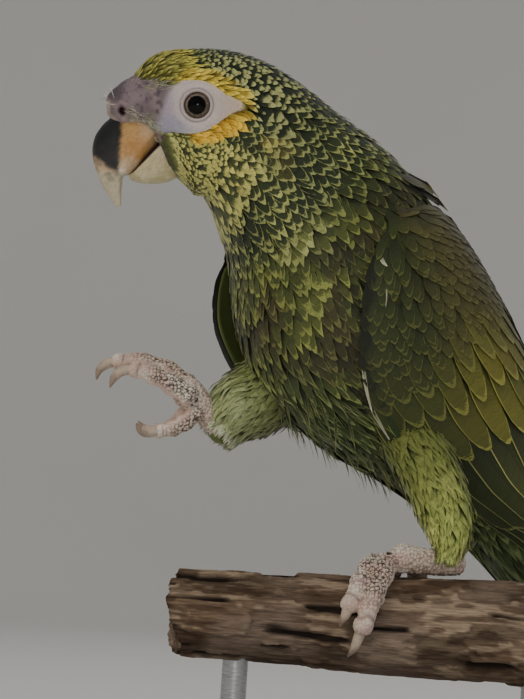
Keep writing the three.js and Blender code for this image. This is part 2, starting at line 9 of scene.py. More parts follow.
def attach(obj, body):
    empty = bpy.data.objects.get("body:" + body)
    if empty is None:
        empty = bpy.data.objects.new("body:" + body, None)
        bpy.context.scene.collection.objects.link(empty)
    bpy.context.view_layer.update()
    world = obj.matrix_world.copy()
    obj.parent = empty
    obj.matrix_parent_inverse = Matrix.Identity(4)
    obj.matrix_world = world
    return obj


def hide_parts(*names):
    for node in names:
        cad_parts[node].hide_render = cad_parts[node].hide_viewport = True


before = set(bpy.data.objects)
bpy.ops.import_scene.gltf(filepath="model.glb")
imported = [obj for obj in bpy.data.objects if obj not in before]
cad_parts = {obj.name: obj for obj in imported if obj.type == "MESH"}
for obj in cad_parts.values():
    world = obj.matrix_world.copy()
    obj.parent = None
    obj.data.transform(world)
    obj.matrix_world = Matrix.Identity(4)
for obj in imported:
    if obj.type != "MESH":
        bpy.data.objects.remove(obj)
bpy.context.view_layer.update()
mm = 0.001
rng = np.random.default_rng(7)


# sRGB hex to linear light: each channel is ((c + 0.055) / 1.055) to the power 2.4.
def linear(code):
    channels = np.array([int(code[i:i + 2], 16) for i in (1, 3, 5)]) / 255
    return ((channels + 0.055) / 1.055) ** 2.4


# 0 below low, 1 above high, and 3t^2 - 2t^3 between them.
def smooth(x, low, high):
    t = np.clip((x - low) / (high - low), 0, 1)
    return t * t * (3 - 2 * t)


# The value between the two of a pair, by a share from 0 to 1.
def between(pair, share):
    return pair[0] + (pair[1] - pair[0]) * share


# The same mask the other way round: 1 below low and 0 above high.
def falling(x, low, high):
    return 1 - smooth(x, low, high)


# 0 outside four values in order and 1 between the middle two, with soft sides.
def window(x, riseFrom, riseTo, fallFrom, fallTo):
    return smooth(x, riseFrom, riseTo) * falling(x, fallFrom, fallTo)


# Each vector divided by its own length.
def unit(v):
    return v / np.maximum(np.linalg.norm(v, axis=-1, keepdims=True), 1e-9)


# Catmull-Rom curve through the rows of a table; s counts rows from 0.
def throughRows(table, s):
    last = len(table) - 1
    i = np.clip(np.floor(s).astype(int), 0, last - 1)
    t = (s - i)[..., None]
    a, b, c, d = (table[np.clip(i + k, 0, last)] for k in (-1, 0, 1, 2))
    return 0.5 * (2 * b + (c - a) * t + (2 * a - 5 * b + 4 * c - d) * t**2 + (3 * b - a - 3 * c + d) * t**3)


# One fixed random number from 0 to 1 for each whole-number place (x, y, z).
def chance(place, seed):
    x, y, z = (place[..., k].astype(np.int64) for k in range(3))
    mixed = (x * 73856093) ^ (y * 19349663) ^ (z * 83492791) ^ (seed * 2654435761)
    mixed = (mixed ^ (mixed >> 13)) * 1274126177
    return ((mixed ^ (mixed >> 16)) & 0xFFFF) / 65535


# Soft random lumps from 0 to 1: the chances at the corners of cubes of the given size, blended between.
def lumps(points, size, seed):
    p = points / size
    low = np.floor(p)
    t = p - low
    t = t * t * (3 - 2 * t)
    total = np.zeros(p.shape[:-1])
    for corner in np.ndindex(2, 2, 2):
        corner = np.array(corner)
        weight = np.prod(np.where(corner == 1, t, 1 - t), axis=-1)
        total += weight * chance(low + corner, seed)
    return total


# Soft patches: 0 where the lumps are below low and 1 where they are above high.
def patches(points, size, seed, low, high):
    return smooth(lumps(points, size, seed), low, high)


# Distances, in cell sizes, to the nearest and the second nearest of one random point in each cube.
def cells(points, size, seed):
    p = points / size
    low = np.floor(p)
    nearest = np.full(p.shape[:-1], 9.0)
    second = np.full(p.shape[:-1], 9.0)
    for step in np.ndindex(3, 3, 3):
        cube = low + np.array(step) - 1
        seedPoint = cube + 0.15 + 0.7 * np.stack([chance(cube, seed + k) for k in range(3)], -1)
        away = np.linalg.norm(p - seedPoint, axis=-1)
        second = np.minimum(second, np.maximum(nearest, away))
        nearest = np.minimum(nearest, away)
    return nearest, second


# Cosine and sine of an angle made squarer: the sign times the size to the power 2 / roundness.
def squared(angle, roundness):
    power = 2 / roundness
    c, s = np.cos(angle), np.sin(angle)
    return np.sign(c) * np.abs(c) ** power, np.sign(s) * np.abs(s) ** power


# Quads of a grid of vertex numbers; a closed grid joins its last column to its first.
def gridQuads(index, closed=False):
    if closed:
        index = np.concatenate([index, index[:, :1]], axis=1)
    corners = [index[:-1, :-1], index[:-1, 1:], index[1:, 1:], index[1:, :-1]]
    return np.stack(corners, -1).reshape(-1, 4)


# A new object with its data, in the scene.
def addObject(name, data):
    made = bpy.data.objects.new(name, data)
    bpy.context.scene.collection.objects.link(made)
    return made


# Puts points (in mm), faces (quads, where a corner of -1 leaves a triangle) and attributes in a mesh.
def makePiece(name, points, faces, material, attributes=None, uvs=None, sharpOver=None):
    mesh = bpy.data.meshes.new(name)
    corners = faces.ravel()
    sizes = (faces >= 0).sum(1)
    starts = np.cumsum(sizes) - sizes
    corners = corners[corners >= 0]
    mesh.vertices.add(len(points))
    mesh.vertices.foreach_set("co", (points * mm).astype(np.float32).ravel())
    mesh.loops.add(len(corners))
    mesh.loops.foreach_set("vertex_index", corners.astype(np.int32))
    mesh.polygons.add(len(sizes))
    mesh.polygons.foreach_set("loop_start", starts.astype(np.int32))
    mesh.polygons.foreach_set("use_smooth", np.ones(len(sizes), bool))
    for key, values in (attributes or {}).items():
        if values.ndim == 1:
            mesh.attributes.new(key, "FLOAT", "POINT").data.foreach_set("value", values.astype(np.float32))
        else:
            mesh.attributes.new(key, "FLOAT_VECTOR", "POINT").data.foreach_set(
                "vector", values.astype(np.float32).ravel())
    for key, values in (uvs or {}).items():
        layer = mesh.uv_layers.new(name=key)
        layer.data.foreach_set("uv", values[corners].astype(np.float32).ravel())
    mesh.update(calc_edges=True)
    mesh.validate()
    if sharpOver:
        mesh.set_sharp_from_angle(angle=np.radians(sharpOver))
    mesh.materials.append(material)
    piece = addObject(name, mesh)
    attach(piece, "root")
    return piece


# Faces of a closed surface of rings: sides between rings, and a fan to one pole point at each end.
def ringFaces(rings, around):
    index = np.arange(rings * around).reshape(rings, around)
    start, end, empty = (np.full(around, k) for k in (rings * around, rings * around + 1, -1))
    ahead = np.roll(index, -1, axis=1)
    startFan = np.stack([ahead[0], index[0], start, empty], -1)
    endFan = np.stack([index[-1], ahead[-1], end, empty], -1)
    return np.concatenate([gridQuads(index, closed=True), startFan, endFan])


# The same faces with their corners the other way round, so that they look the other way.
def turned(faces):
    return np.where(faces[:, 3:] < 0, faces[:, [2, 1, 0, 3]], faces[:, ::-1])


# Values of a grid of rings with those of its two poles, taken from the first and the last point.
def withPoles(values):
    flat = values.reshape(-1, 3)
    return np.concatenate([flat, flat[:1], flat[-1:]])


# Angles once round, in one row.
def circle(count):
    return np.linspace(0, 2 * np.pi, count, endpoint=False)[None]


# A closed body from a (rings, around, 3) grid of points: the grid and the middle of each end ring.
def closedBody(grid):
    rings, around = grid.shape[:2]
    points = np.concatenate([grid.reshape(-1, 3), grid[0].mean(0)[None], grid[-1].mean(0)[None]])
    faces = ringFaces(rings, around)
    quads = faces[faces[:, 3] >= 0]
    a, b, c = (points[quads[:, k]] for k in range(3))
    middle = points.mean(0)
    inwards = np.sum(np.cross(b - a, c - a) * (a - middle)) < 0
    return points, turned(faces) if inwards else faces


# Several bodies as one list of points and faces.
def joined(bodies):
    points, faces, count = [], [], 0
    for bodyPoints, bodyFaces in bodies:
        points.append(bodyPoints)
        faces.append(np.where(bodyFaces >= 0, bodyFaces + count, -1))
        count += len(bodyPoints)
    return np.concatenate(points), np.concatenate(faces)


# Adds a node, sets its properties, and fills its inputs: a socket is linked, a plain value is set.
def put(tree, kind, settings=None, **inputs):
    made = tree.nodes.new(kind)
    for key, value in (settings or {}).items():
        setattr(made, key, value)
    for key, value in inputs.items():
        socket = made.inputs[int(key[1:])] if key[0] == "_" else made.inputs[key.replace("_", " ")]
        if isinstance(value, bpy.types.NodeSocket):
            tree.links.new(value, socket)
        else:
            socket.default_value = value
    return made


# A colour as a socket takes it, with its alpha.
def colour(code):
    return (*linear(code), 1.0)


# A new material with its tree, its Principled shader and fixed values on the shader's own sockets.
def newMaterial(name, **fixed):
    material = bpy.data.materials.new(name)
    material.use_nodes = True
    tree = material.node_tree
    shader = tree.nodes["Principled BSDF"]
    for key, value in fixed.items():
        shader.inputs[key.replace("_", " ")].default_value = value
    return material, tree, shader


# Two colours blended by a factor, or multiplied where the kind says so.
def blendColours(tree, factor, first, second, kind="MIX"):
    settings = {"data_type": "RGBA", "blend_type": kind, "clamp_factor": True}
    return put(tree, "ShaderNodeMix", settings, _0=factor, _6=first, _7=second).outputs[2]


# Factor from 0 to 1 as a value passes from low to high, with soft ends.
def ramp(tree, value, low, high):
    settings = {"interpolation_type": "SMOOTHSTEP"}
    return put(tree, "ShaderNodeMapRange", settings, Value=value, From_Min=low, From_Max=high).outputs[0]


# Functions of two values that each add one Math node: the operations named, in the same order.
def arithmetic(tree, *operations):
    def made(kind):
        return lambda first, second=0.0: put(tree, "ShaderNodeMath", {"operation": kind}, _0=first,
                                             _1=second).outputs[0]

    return [made(kind) for kind in operations]


# Noise at a place, with scale lumps to one unit of it.
def noiseAt(tree, vector, scale, detail=3.0, roughness=0.5):
    return put(tree, "ShaderNodeTexNoise", None, Vector=vector, Scale=scale, Detail=detail,
               Roughness=roughness).outputs["Fac"]


# An attribute of the points, as a vector, a colour or one value.
def read(tree, name, output="Vector"):
    return put(tree, "ShaderNodeAttribute", {"attribute_name": name}).outputs[output]


# The three values of a vector attribute.
def readParts(tree, name):
    return put(tree, "ShaderNodeSeparateXYZ", None, Vector=read(tree, name)).outputs


# Place on the object, its axes stretched by a scale where one is given.
def objectPlace(tree, scale=None):
    place = put(tree, "ShaderNodeTexCoord").outputs["Object"]
    if scale is None:
        return place
    return put(tree, "ShaderNodeMapping", {"vector_type": "POINT"}, Vector=place, Scale=scale).outputs[0]


# A value carried from one span to another, held at its ends.
def mapped(tree, value, span, target):
    return put(tree, "ShaderNodeMapRange", None, Value=value, From_Min=span[0], From_Max=span[1],
               To_Min=target[0], To_Max=target[1]).outputs[0]


# A colour multiplied by a grey that follows a value.
def shaded(tree, tint, value, span, shades):
    grey = mapped(tree, value, span, shades)
    grey = put(tree, "ShaderNodeCombineColor", None, Red=grey, Green=grey, Blue=grey).outputs[0]
    return blendColours(tree, 1.0, tint, grey, "MULTIPLY")


# Colour and relief of a surface: the height moves it by a share, the strength, of the distance in metres.
def applySurface(tree, shader, tint, height, strength, distance):
    tree.links.new(tint, shader.inputs["Base Color"])
    bump = put(tree, "ShaderNodeBump", None, Height=height, Strength=strength, Distance=distance)
    tree.links.new(bump.outputs[0], shader.inputs["Normal"])


# Feather: keratin barbs grown as a flat web on a shaft. Matt with a faint sheen; each barb is a fine
# line, drawn 0.4 mm apart, which is coarser than life, so that it shows. A negative edge width makes the
# pale tip a round spot that falls back from the middle by that share of the square across.
def featherMaterial(name, barbDepth=0.35, shaft=0.0):
    material, tree, shader = newMaterial(name, Roughness=0.62, IOR=1.54, Specular_IOR_Level=0.32,
                                         Sheen_Weight=0.12, Sheen_Roughness=0.5)
    plus, minus, times = arithmetic(tree, "ADD", "SUBTRACT", "MULTIPLY")
    least, most, size = arithmetic(tree, "MINIMUM", "MAXIMUM", "ABSOLUTE")
    along, across, barb = readParts(tree, "vane")
    tipWidth, sideWidth, upperEdge = readParts(tree, "fringe")
    away = size(across)
    spot = times(least(sideWidth, 0.0), times(away, away))
    sideWidth = most(sideWidth, 0.001)
    place = put(tree, "ShaderNodeCombineXYZ", None, X=times(barb, 2.4), Y=times(away, 0.8),
                Z=times(read(tree, "odd", "Fac"), 50.0)).outputs[0]
    streak = noiseAt(tree, place, 1.0, 2.0)
    base = blendColours(tree, ramp(tree, along, 0.25, 0.8), read(tree, "rootTint", "Color"),
                        read(tree, "midTint", "Color"))
    wavy = plus(plus(along, times(minus(streak, 0.5), 0.16)), spot)
    tipMask = ramp(tree, wavy, minus(1.0, tipWidth), minus(1.0, times(tipWidth, 0.45)))
    side = most(times(across, -1.0), times(across, upperEdge))
    sideMask = ramp(tree, side, minus(1.0, sideWidth), minus(1.0, times(sideWidth, 0.4)))
    fringed = most(tipMask, times(sideMask, ramp(tree, along, 0.1, 0.45)))
    tinted = blendColours(tree, fringed, base, read(tree, "tipTint", "Color"))
    if shaft:
        line = minus(1.0, ramp(tree, away, 0.02, 0.09))
        tinted = blendColours(tree, times(line, shaft), tinted, colour("#1d1b12"))
    tinted = shaded(tree, tinted, streak, (0.25, 0.75), (0.72, 1.18))
    applySurface(tree, shader, tinted, streak, barbDepth, 0.0002)
    return material


# One long form from the bill base to the tail tip. A station is its centre, the way the section faces
# (yaw, lean, roll), its half width and its reach up and down; the same stations as the solids.
form = {
    "roundness": 2.2,
    "stations": np.array([
        [-82.3, -14.0, 235.2, 6, -28, 12, 11.0, 17.0, 16.0],  # 0 bill base
        [-76.9, -13.6, 238.9, 6, -18, 12, 13.3, 20.4, 22.0],  # 1 lores
        [-69.1, -13.0, 241.4, 6, -4, 12, 14.2, 20.0, 26.0],  # 2 eyes
        [-59.6, -12.0, 241.6, 7, 10, 12, 18.0, 20.0, 27.0],  # 3 ears
        [-50.1, -10.0, 237.8, 9, 26, 11, 20.5, 20.3, 28.0],  # 4 nape
        [-39.2, -6.0, 229.8, 14, 39, 9, 24.5, 21.5, 31.0],  # 5 neck
        [-27.9, 1.0, 217.4, 22, 47, 6, 29.5, 27.5, 35.5],  # 6 shoulders
        [-17.1, 8.0, 202.3, 28, 50, 3, 32.5, 30.5, 44.5],  # 7 breast
        [-3.3, 17.0, 185.7, 31, 50, 1, 33.0, 29.5, 50.5],  # 8 belly
        [11.6, 26.0, 167.6, 32, 50, 0, 31.0, 28.0, 43.6],  # 9 thighs
        [25.8, 34.0, 149.1, 32, 50, 0, 27.0, 26.0, 30.0],  # 10 vent
        [39.6, 41.2, 130.6, 32, 50, 0, 20.5, 20.5, 19.5],  # 11 rump
        [49.0, 47.0, 114.8, 32, 50, 0, 16.0, 14.0, 13.5],  # 12 tail root
        [73.4, 62.2, 81.4, 32, 50, 0, 16.5, 8.0, 7.0],  # 13 tail, halfway
        [97.8, 77.4, 48.0, 32, 50, 0, 15.5, 5.0, 4.0],  # 14 tail tip
    ]),
}


# The section's centre, its left and dorsal directions, and its half width, reach up and reach down.
def formFrame(s):
    row = throughRows(form["stations"], s)
    yaw, lean, roll = (np.radians(row[..., k])[..., None] for k in (3, 4, 5))
    up = np.array([0.0, 0.0, 1.0])
    flat = np.zeros_like(yaw)
    tailward = np.concatenate([np.cos(yaw), np.sin(yaw), flat], -1)
    side = np.concatenate([np.sin(yaw), -np.cos(yaw), flat], -1)
    left = side * np.cos(roll) - up * np.sin(roll)
    rolledUp = up * np.cos(roll) + side * np.sin(roll)
    dorsal = tailward * np.sin(lean) + rolledUp * np.cos(lean)
    return row[..., :3], left, dorsal, row[..., 6], row[..., 7], row[..., 8]


# Point of the form at a station and an angle (0 the left side, 90 degrees the back): the centre plus
# left times the squared cosine plus dorsal times the squared sine, with grow added to each reach.
def formPoint(s, angle, grow):
    s, angle, grow = np.broadcast_arrays(np.asarray(s, float), angle, grow)
    centre, left, dorsal, half, up, down = formFrame(s)
    c, d = squared(angle, form["roundness"])
    reach = np.where(d > 0, up, down) + grow
    return centre + left * ((half + grow) * c)[..., None] + dorsal * (reach * d)[..., None]


# Millimetres along the form for one station, and round it for one radian, at given places.
def formScale(s, angle):
    alongStep, aroundStep = 0.05, 0.03
    along = formPoint(s + alongStep, angle, 0) - formPoint(s - alongStep, angle, 0)
    around = formPoint(s, angle + aroundStep, 0) - formPoint(s, angle - aroundStep, 0)
    alongMm = np.linalg.norm(along, axis=-1) / (2 * alongStep)
    return alongMm, np.linalg.norm(around, axis=-1) / (2 * aroundStep)


# Height of a place round the body in degrees, the same on both sides: -90 belly, 0 side, 90 back.
def heightAngle(angle):
    return np.degrees(np.arcsin(np.clip(np.sin(angle), -1, 1)))


head = {
    "origin": np.array([-69.0, -13.9, 243.1]),
    "yaw": 6,
    "roll": 12,
    "bare": np.array([  # the bare skin of the face: ahead, its upper edge and its lower edge
        [-12.8, 0.2, 0.0], [-8.4, 1.9, -2.8], [-5.8, 3.5, -5.4], [-3.2, 5.0, -6.9], [0.0, 5.7, -8.0],
        [4.4, 5.3, -8.5], [9.5, 4.7, -8.9], [12.5, 5.2, -8.4], [18.0, 5.6, -5.5], [22.0, 3.4, -3.0],
    ]),
    "browEnd": ([6.0, 7.5, 10.5, 17.0, 20.0], [-9.5, -5.0, 2.2, 7.2, 8.2]),  # above, and ahead of the eyes
    "cheek": (10.4, -12.2, 0.15),  # the feathers' front edge below the gape: ahead, above, and its slope
}
eye = {
    "at": (-2.1, -0.7),
    "lateral": 9.6,
    "forwardTurn": 10,
    "radius": 5.5,
    "inset": 0.3,  # mm that the ball stays inside that radius
    "dome": 0.32,  # mm, the cornea's height on the ball
    "domeEdge": 52,
    "pupil": 2.85,
    "behind": 6.0,  # mm from the axis, given to all points of the far side: past the iris
}

headYaw, headRoll = np.radians(head["yaw"]), np.radians(head["roll"])
headForward = np.array([-np.cos(headYaw), -np.sin(headYaw), 0])
headLeft = np.array([np.sin(headYaw), -np.cos(headYaw), 0]) * np.cos(headRoll)
headLeft = headLeft - np.array([0, 0, np.sin(headRoll)])
headUp = -np.cross(headLeft, headForward)


# Point at a place ahead of, above and to the left of the point between the eyes.
def headPoint(ahead, above, lateral):
    ahead, above, lateral = (np.asarray(x, float)[..., None] for x in (ahead, above, lateral))
    return head["origin"] + headForward * ahead + headUp * above + headLeft * lateral


# Millimetres ahead of, above and to the left of the point between the eyes.
def headPlace(points):
    away = points - head["origin"]
    return away @ headForward, away @ headUp, away @ headLeft


# Millimetres outside the bare skin of the face, negative inside it: the larger of the heights over its
# upper edge and under its lower edge, and behind its rear corner the distance from that corner.
def bareDistance(ahead, above):
    edges = head["bare"]
    upper, lower = (np.interp(ahead, edges[:, 0], edges[:, k]) for k in (1, 2))
    over = np.maximum(above - upper, lower - above)
    behind = np.maximum(edges[0, 0] - ahead, 0)
    return np.where(behind > 0, np.hypot(np.maximum(over, 0), behind), over)


# Millimetres in front of the line where the yellow of the forehead ends.
def beforeBrow(ahead, above):
    return ahead - np.interp(above, *head["browEnd"])


# A colour for each point moved towards another colour by its weight there.
def painted(base, code, weight):
    return base + (linear(code) - base) * weight[..., None]


# The same for several colours, one over another.
def layered(base, *coats):
    for code, weight in coats:
        base = painted(base, code, weight)
    return base


# One colour for every point.
def evenTint(points, code):
    return np.ones(points.shape) * linear(code)


# Colours of the root, web and tip of a feather at a place on the form, and the widths of its pale tip
# and pale edges. Each marking is a soft mask in stations, height round the body, or mm on the head.
def plumage(s, angle, points):
    e = heightAngle(angle)
    ahead, above, _ = headPlace(points)
    bare = bareDistance(ahead, above)
    blotch = lumps(points, 9.0, 11)
    band = lumps(points * np.array([0.5, 0.5, 1.6]), 7.0, 12)
    root, web, tip = (evenTint(points, code) for code in ("#242c14", "#465124", "#7c8440"))
    tipWidth, sideWidth = np.full(s.shape, 0.25), np.full(s.shape, 0.2)

    def lay(weight, rootCode, webCode, tipCode, width, side=0.2):
        nonlocal root, web, tip, tipWidth, sideWidth
        root, web = painted(root, rootCode, weight), painted(web, webCode, weight)
        tip = painted(tip, tipCode, weight)
        tipWidth = tipWidth + (width - tipWidth) * weight
        sideWidth = sideWidth + (side - sideWidth) * weight

    breast = window(s, 5.3, 6.1, 9.6, 10.6) * falling(e, 25, 60)
    lay(breast, "#1e2310", "#3b4220", "#70763b", 0.15, 0.0)
    lay(breast * falling(band, 0.3, 0.5), "#171a0b", "#2b2d16", "#4f5129", 0.13, 0.0)
    lay(breast * smooth(band, 0.48, 0.7), "#282e14", "#535a27", "#8c924a", 0.19, 0.0)
    lay(breast * smooth(blotch, 0.58, 0.8), "#22200f", "#3d3a1f", "#626235", 0.14, 0.0)
    ruff = np.exp(-((s - 5.65 - 0.004 * (e + 30)) / 0.22) ** 2) * window(e, -55, -40, -28, -10)
    lay(ruff * smooth(blotch, 0.3, 0.5), "#333a1a", "#747b3c", "#abb070", 0.3, 0.1)
    flank = window(s, 7.2, 8.2, 9.6, 10.4) * falling(e, -45, -25)
    lay(flank * smooth(band, 0.35, 0.6), "#2a3318", "#54622e", "#929d51", 0.17, 0.0)
    belly = smooth(s, 6.8, 8.2) * falling(e, -72, -50) * falling(s, 10, 11)
    lay(belly, "#1d2614", "#3d4d28", "#83925a", 0.12, 0.22)
    back = smooth(s, 5.2, 6.4) * smooth(e, 30, 60)
    lay(back, "#24270f", "#40431f", "#57592c", 0.12, 0.0)
    under = smooth(s, 10.2, 11.2) * falling(e, -20, 30)
    lay(under, "#303a22", "#55643a", "#7c8c56", 0.2, 0.1)
    neck = window(s, 2.2, 3.0, 5.2, 5.8)
    lay(neck, "#12180c", "#262f17", "#8b9157", 0.15, 0.12)
    lay(neck * smooth(blotch, 0.45, 0.7), "#181f0f", "#313a1e", "#a0a45f", 0.18, 0.14)
    crown = window(s, 1.6, 2.2, 3.6, 4.6) * smooth(e, -10, 8)
    lay(crown, "#10160a", "#232c16", "#a6a86c", 0.37, -0.2)
    lay(crown * smooth(e, 50, 75), "#10160a", "#252f18", "#868b60", 0.27, -0.22)
    cheek = falling(s, 3.4, 4.8) * falling(e, -26, -12)
    lay(cheek, "#1d2310", "#4b522a", "#cdc86f", 0.39, -0.18)
    throat = window(s, 0.0, 0.6, 3.4, 5.0) * falling(e, -80, -55)
    lay(throat, "#2c3217", "#5b602f", "#b9b86f", 0.38, -0.12)
    first = falling(s, 0.25, 0.8) * falling(e, -14, -4)
    lay(0.85 * first, "#4c5228", "#85874a", "#c9c676", 0.5, -0.1)
    ear = window(-ahead, 15, 17, 23, 28) * window(above, -19, -14, -8, -6)
    lay(0.65 * ear * smooth(blotch, 0.3, 0.6), "#453a1c", "#857736", "#bdb45c", 0.4, 0.2)
    front = beforeBrow(ahead, above)
    brow = smooth(front, -1.2, 1.2) * smooth(above, 4.5, 6.0) * (s < 5)
    lay(brow, "#525220", "#8a8639", "#b0aa50", 0.35, 0.0)
    lay(brow * falling(front, 3.0, 8.0), "#635d22", "#aaa03f", "#cdc25a", 0.35, 0.0)
    corner = ahead < -13
    ringed = falling(bare, np.where(corner, 1.2, 3.8), np.where(corner, 2.6, 5.4)) * (s < 5)
    ringed = ringed * np.where(above < -3, falling(ahead, 1.0, 4.5), falling(ahead, 6, 10))
    lay(ringed, "#a08a28", "#cdb236", "#e4cd58", 0.4, 0.3)
    warm = ringed * smooth(-above - 0.25 * ahead, 3.5, 7.5)
    lay(warm, "#ad801c", "#d8a92a", "#e8bf40", 0.4, 0.3)
    lores = smooth(ahead, 11.5, 14) * falling(above, 4, 6) * smooth(above, -16, -12)
    lay(lores, "#8f8486", "#a89f98", "#c4bfb0", 0.4, 0.2)
    return root, web, tip, tipWidth, sideWidth


# One feather as a closed lens: a top sheet of across x along faces and a bottom sheet with the same rim.
def vaneGrid(across, along):
    u, v = np.meshgrid(np.linspace(0, 1, along + 1), np.linspace(-1, 1, across + 1), indexing="ij")
    top = np.arange(u.size).reshape(u.shape)
    bottom = top.copy()
    bottom[1:-1, 1:-1] = u.size + np.arange((along - 1) * (across - 1)).reshape(along - 1, across - 1)
    return {
        "u": np.concatenate([u.ravel(), u[1:-1, 1:-1].ravel()]),
        "v": np.concatenate([v.ravel(), v[1:-1, 1:-1].ravel()]),
        "under": np.repeat([0.0, 1.0], [u.size, (along - 1) * (across - 1)]),
        "faces": np.concatenate([gridQuads(top), gridQuads(bottom)[:, ::-1]]),
        "topFaces": across * along,
    }


vaneShape = {"root": 0.5, "tip": 0.7, "round": 0.24, "ragged": 0.07, "thick": 0.1, "camber": 0.3}


# Feathers laid on a surface. Along is u times the length, drawn back at the edges by round v^2 u^3 and
# by ragged chance; across is v times the half width, narrowed at root and tip. lift gives the height of
# the middle line, the edges lie lower by camber v^2, and place turns (along, across, height) to points.
def layVanes(grid, length, halfWidth, lift, place, shape=None):
    shape = {**vaneShape, **(shape or {})}
    u, v = grid["u"][None], grid["v"][None]
    count = len(length)
    column = np.round((v + 1) * 20) + 0 * u  # each lengthwise line of a feather has its own chance
    feather = np.arange(count)[:, None] + 0 * u
    jag = chance(np.stack([feather, column + 0 * feather, 0 * feather], -1), 5) - 0.5
    width = shape["root"] + (1 - shape["root"]) * smooth(u, 0, 0.45)
    width = width * (1 - (1 - shape["tip"]) * smooth(u, 0.55, 1.05))
    along = (u - shape["round"] * v**2 * u**3 + shape["ragged"] * jag * u**4) * length[:, None]
    across = v * width * halfWidth[:, None]
    thick = shape["thick"] * (1 - 0.7 * u) * grid["under"][None]
    height = lift(u, v) - shape["camber"] * v**2 * u - thick
    return {"points": place(along, across, height), "grid": grid, "length": length, "halfWidth": halfWidth}


# Gives a batch of feathers its colours and its places on the bake map: each feather is a patch 0.003
# across at its root's place on the unwrapped skin.
def finishVanes(batch, tints, edge, bakeAt):
    grid = batch["grid"]
    count, each = batch["points"].shape[:2]
    u, v = np.broadcast_to(grid["u"], (count, each)), np.broadcast_to(grid["v"], (count, each))
    barb = u * batch["length"][:, None] - 0.9 * np.abs(v) * batch["halfWidth"][:, None]
    spread = lambda values: np.repeat(values, each, axis=0)
    batch["attributes"] = {
        "vane": np.stack([u, v, barb], -1).reshape(-1, 3),
        "fringe": spread(edge),
        "odd": spread(rng.random(count)),
        "rootTint": spread(tints[0]),
        "midTint": spread(tints[1]),
        "tipTint": spread(tints[2]),
    }
    patch = bakeAt[:, None, :] + np.stack([(u - 0.5) * 0.003, v * 0.0015], -1)
    batch["bake"] = patch.reshape(-1, 2)
    return batch


# Puts batches of feathers in one piece, each feather's faces turned so that its top sheet faces out.
def makeCoat(name, batches, material, nodes=()):
    points, faces, first = [], [], 0
    for batch in batches:
        grid, placed = batch["grid"], batch["points"]
        count, each = placed.shape[:2]
        template = grid["faces"]
        a, b, c = (placed[:, template[:grid["topFaces"], k]] for k in range(3))
        normal = np.cross(b - a, c - a).sum(1)
        rim = placed[:, grid["under"] == 0].mean(1)
        inside = placed[:, grid["under"] == 1].mean(1)
        wrong = np.sum(normal * (rim - inside), -1).mean() < 0
        template = template[:, ::-1] if wrong else template
        offsets = first + each * np.arange(count)[:, None, None]
        faces.append((template[None] + offsets).reshape(-1, 4))
        points.append(placed.reshape(-1, 3))
        first += count * each
    keys = batches[0]["attributes"]
    attributes = {key: np.concatenate([batch["attributes"][key] for batch in batches]) for key in keys}
    bake = np.clip(np.concatenate([batch["bake"] for batch in batches]), 0.001, 0.999)
    piece = makePiece(name, np.concatenate(points), np.concatenate(faces), material, attributes,
                      {"OFBake": bake}, sharpOver=60)
    if nodes:
        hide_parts(*nodes)
    feathers = sum(len(batch["length"]) for batch in batches)
    print(name, "feathers", feathers, "triangles", 2 * len(piece.data.polygons))


# Depth of the coat over the skin, in mm, along the form.
def coatDepth(s):
    return np.interp(s, [0, 3, 4.5, 6, 7.5, 11, 12.5], [0.8, 1.0, 1.6, 2.4, 3.0, 3.0, 2.4])


bodyCoat = {
    "at": [0.0, 1.5, 2.5, 3.2, 4.0, 5.0, 6.0, 7.5, 9.5, 11.0, 12.3],  # stations
    "spacing": [1.25, 1.4, 1.65, 2.0, 2.5, 2.7, 2.4, 2.4, 2.4, 3.2, 4.4],  # mm between neighbours in a row
    "pitch": [0.9, 1.0, 1.2, 1.5, 1.9, 2.5, 3.5, 4.2, 4.0, 3.6, 3.2],  # mm between rows
    "length": [3.2, 3.8, 4.4, 5.2, 6.8, 8.8, 11.5, 14.0, 15.0, 15.0, 17.0],
    "half": [0.72, 0.72, 0.72, 0.72, 0.72, 0.75, 0.85, 0.85, 0.8, 0.72, 0.72],  # of the spacing
    "turn": 6,  # degrees, how far a feather strays from the lie
    "wave": 1.3,  # of the pitch, how far a row wanders
    "settle": 6.0,  # mm, how much lower the feathers lie on the tail
}


# Roots in rings round the form. A ring has one root for each spacing of its length, and each ring is
# turned by half a space from the last. Roots are thinned out where the rings lie closer together.
def bodyRoots(coat):
    stations, angles = [], []
    s, row = 0.06, 0
    while s < coat["at"][-1]:
        ring = np.linspace(-np.pi, np.pi, 361)
        points = formPoint(s, ring, 0)
        arc = np.concatenate([[0], np.cumsum(np.linalg.norm(np.diff(points, axis=0), axis=1))])
        spacing = np.interp(s, coat["at"], coat["spacing"])
        count = int(arc[-1] / spacing)
        angle = np.interp((np.arange(count) + 0.5 * (row % 2)) * arc[-1] / count, arc, ring)
        angle = angle + rng.normal(0, 0.12 * spacing / arc[-1] * 2 * np.pi, count)
        alongMm = formScale(s, angle)[0]
        sideMm = formScale(np.array([s]), np.array([0.0]))[0][0]
        step = np.interp(s, coat["at"], coat["pitch"]) / sideMm
        keep = rng.random(count) < 1.25 * alongMm / sideMm
        wave = coat["wave"] * step * (lumps(formPoint(s, angle, 0), 13.0, 14) - 0.5)
        stations.append((s + wave * smooth(s, 4.5, 5.5) + rng.normal(0, 0.1 * step, count))[keep])
        angles.append(angle[keep])
        s += step
        row += 1
    return np.maximum(np.concatenate(stations), 0.02), np.concatenate(angles)


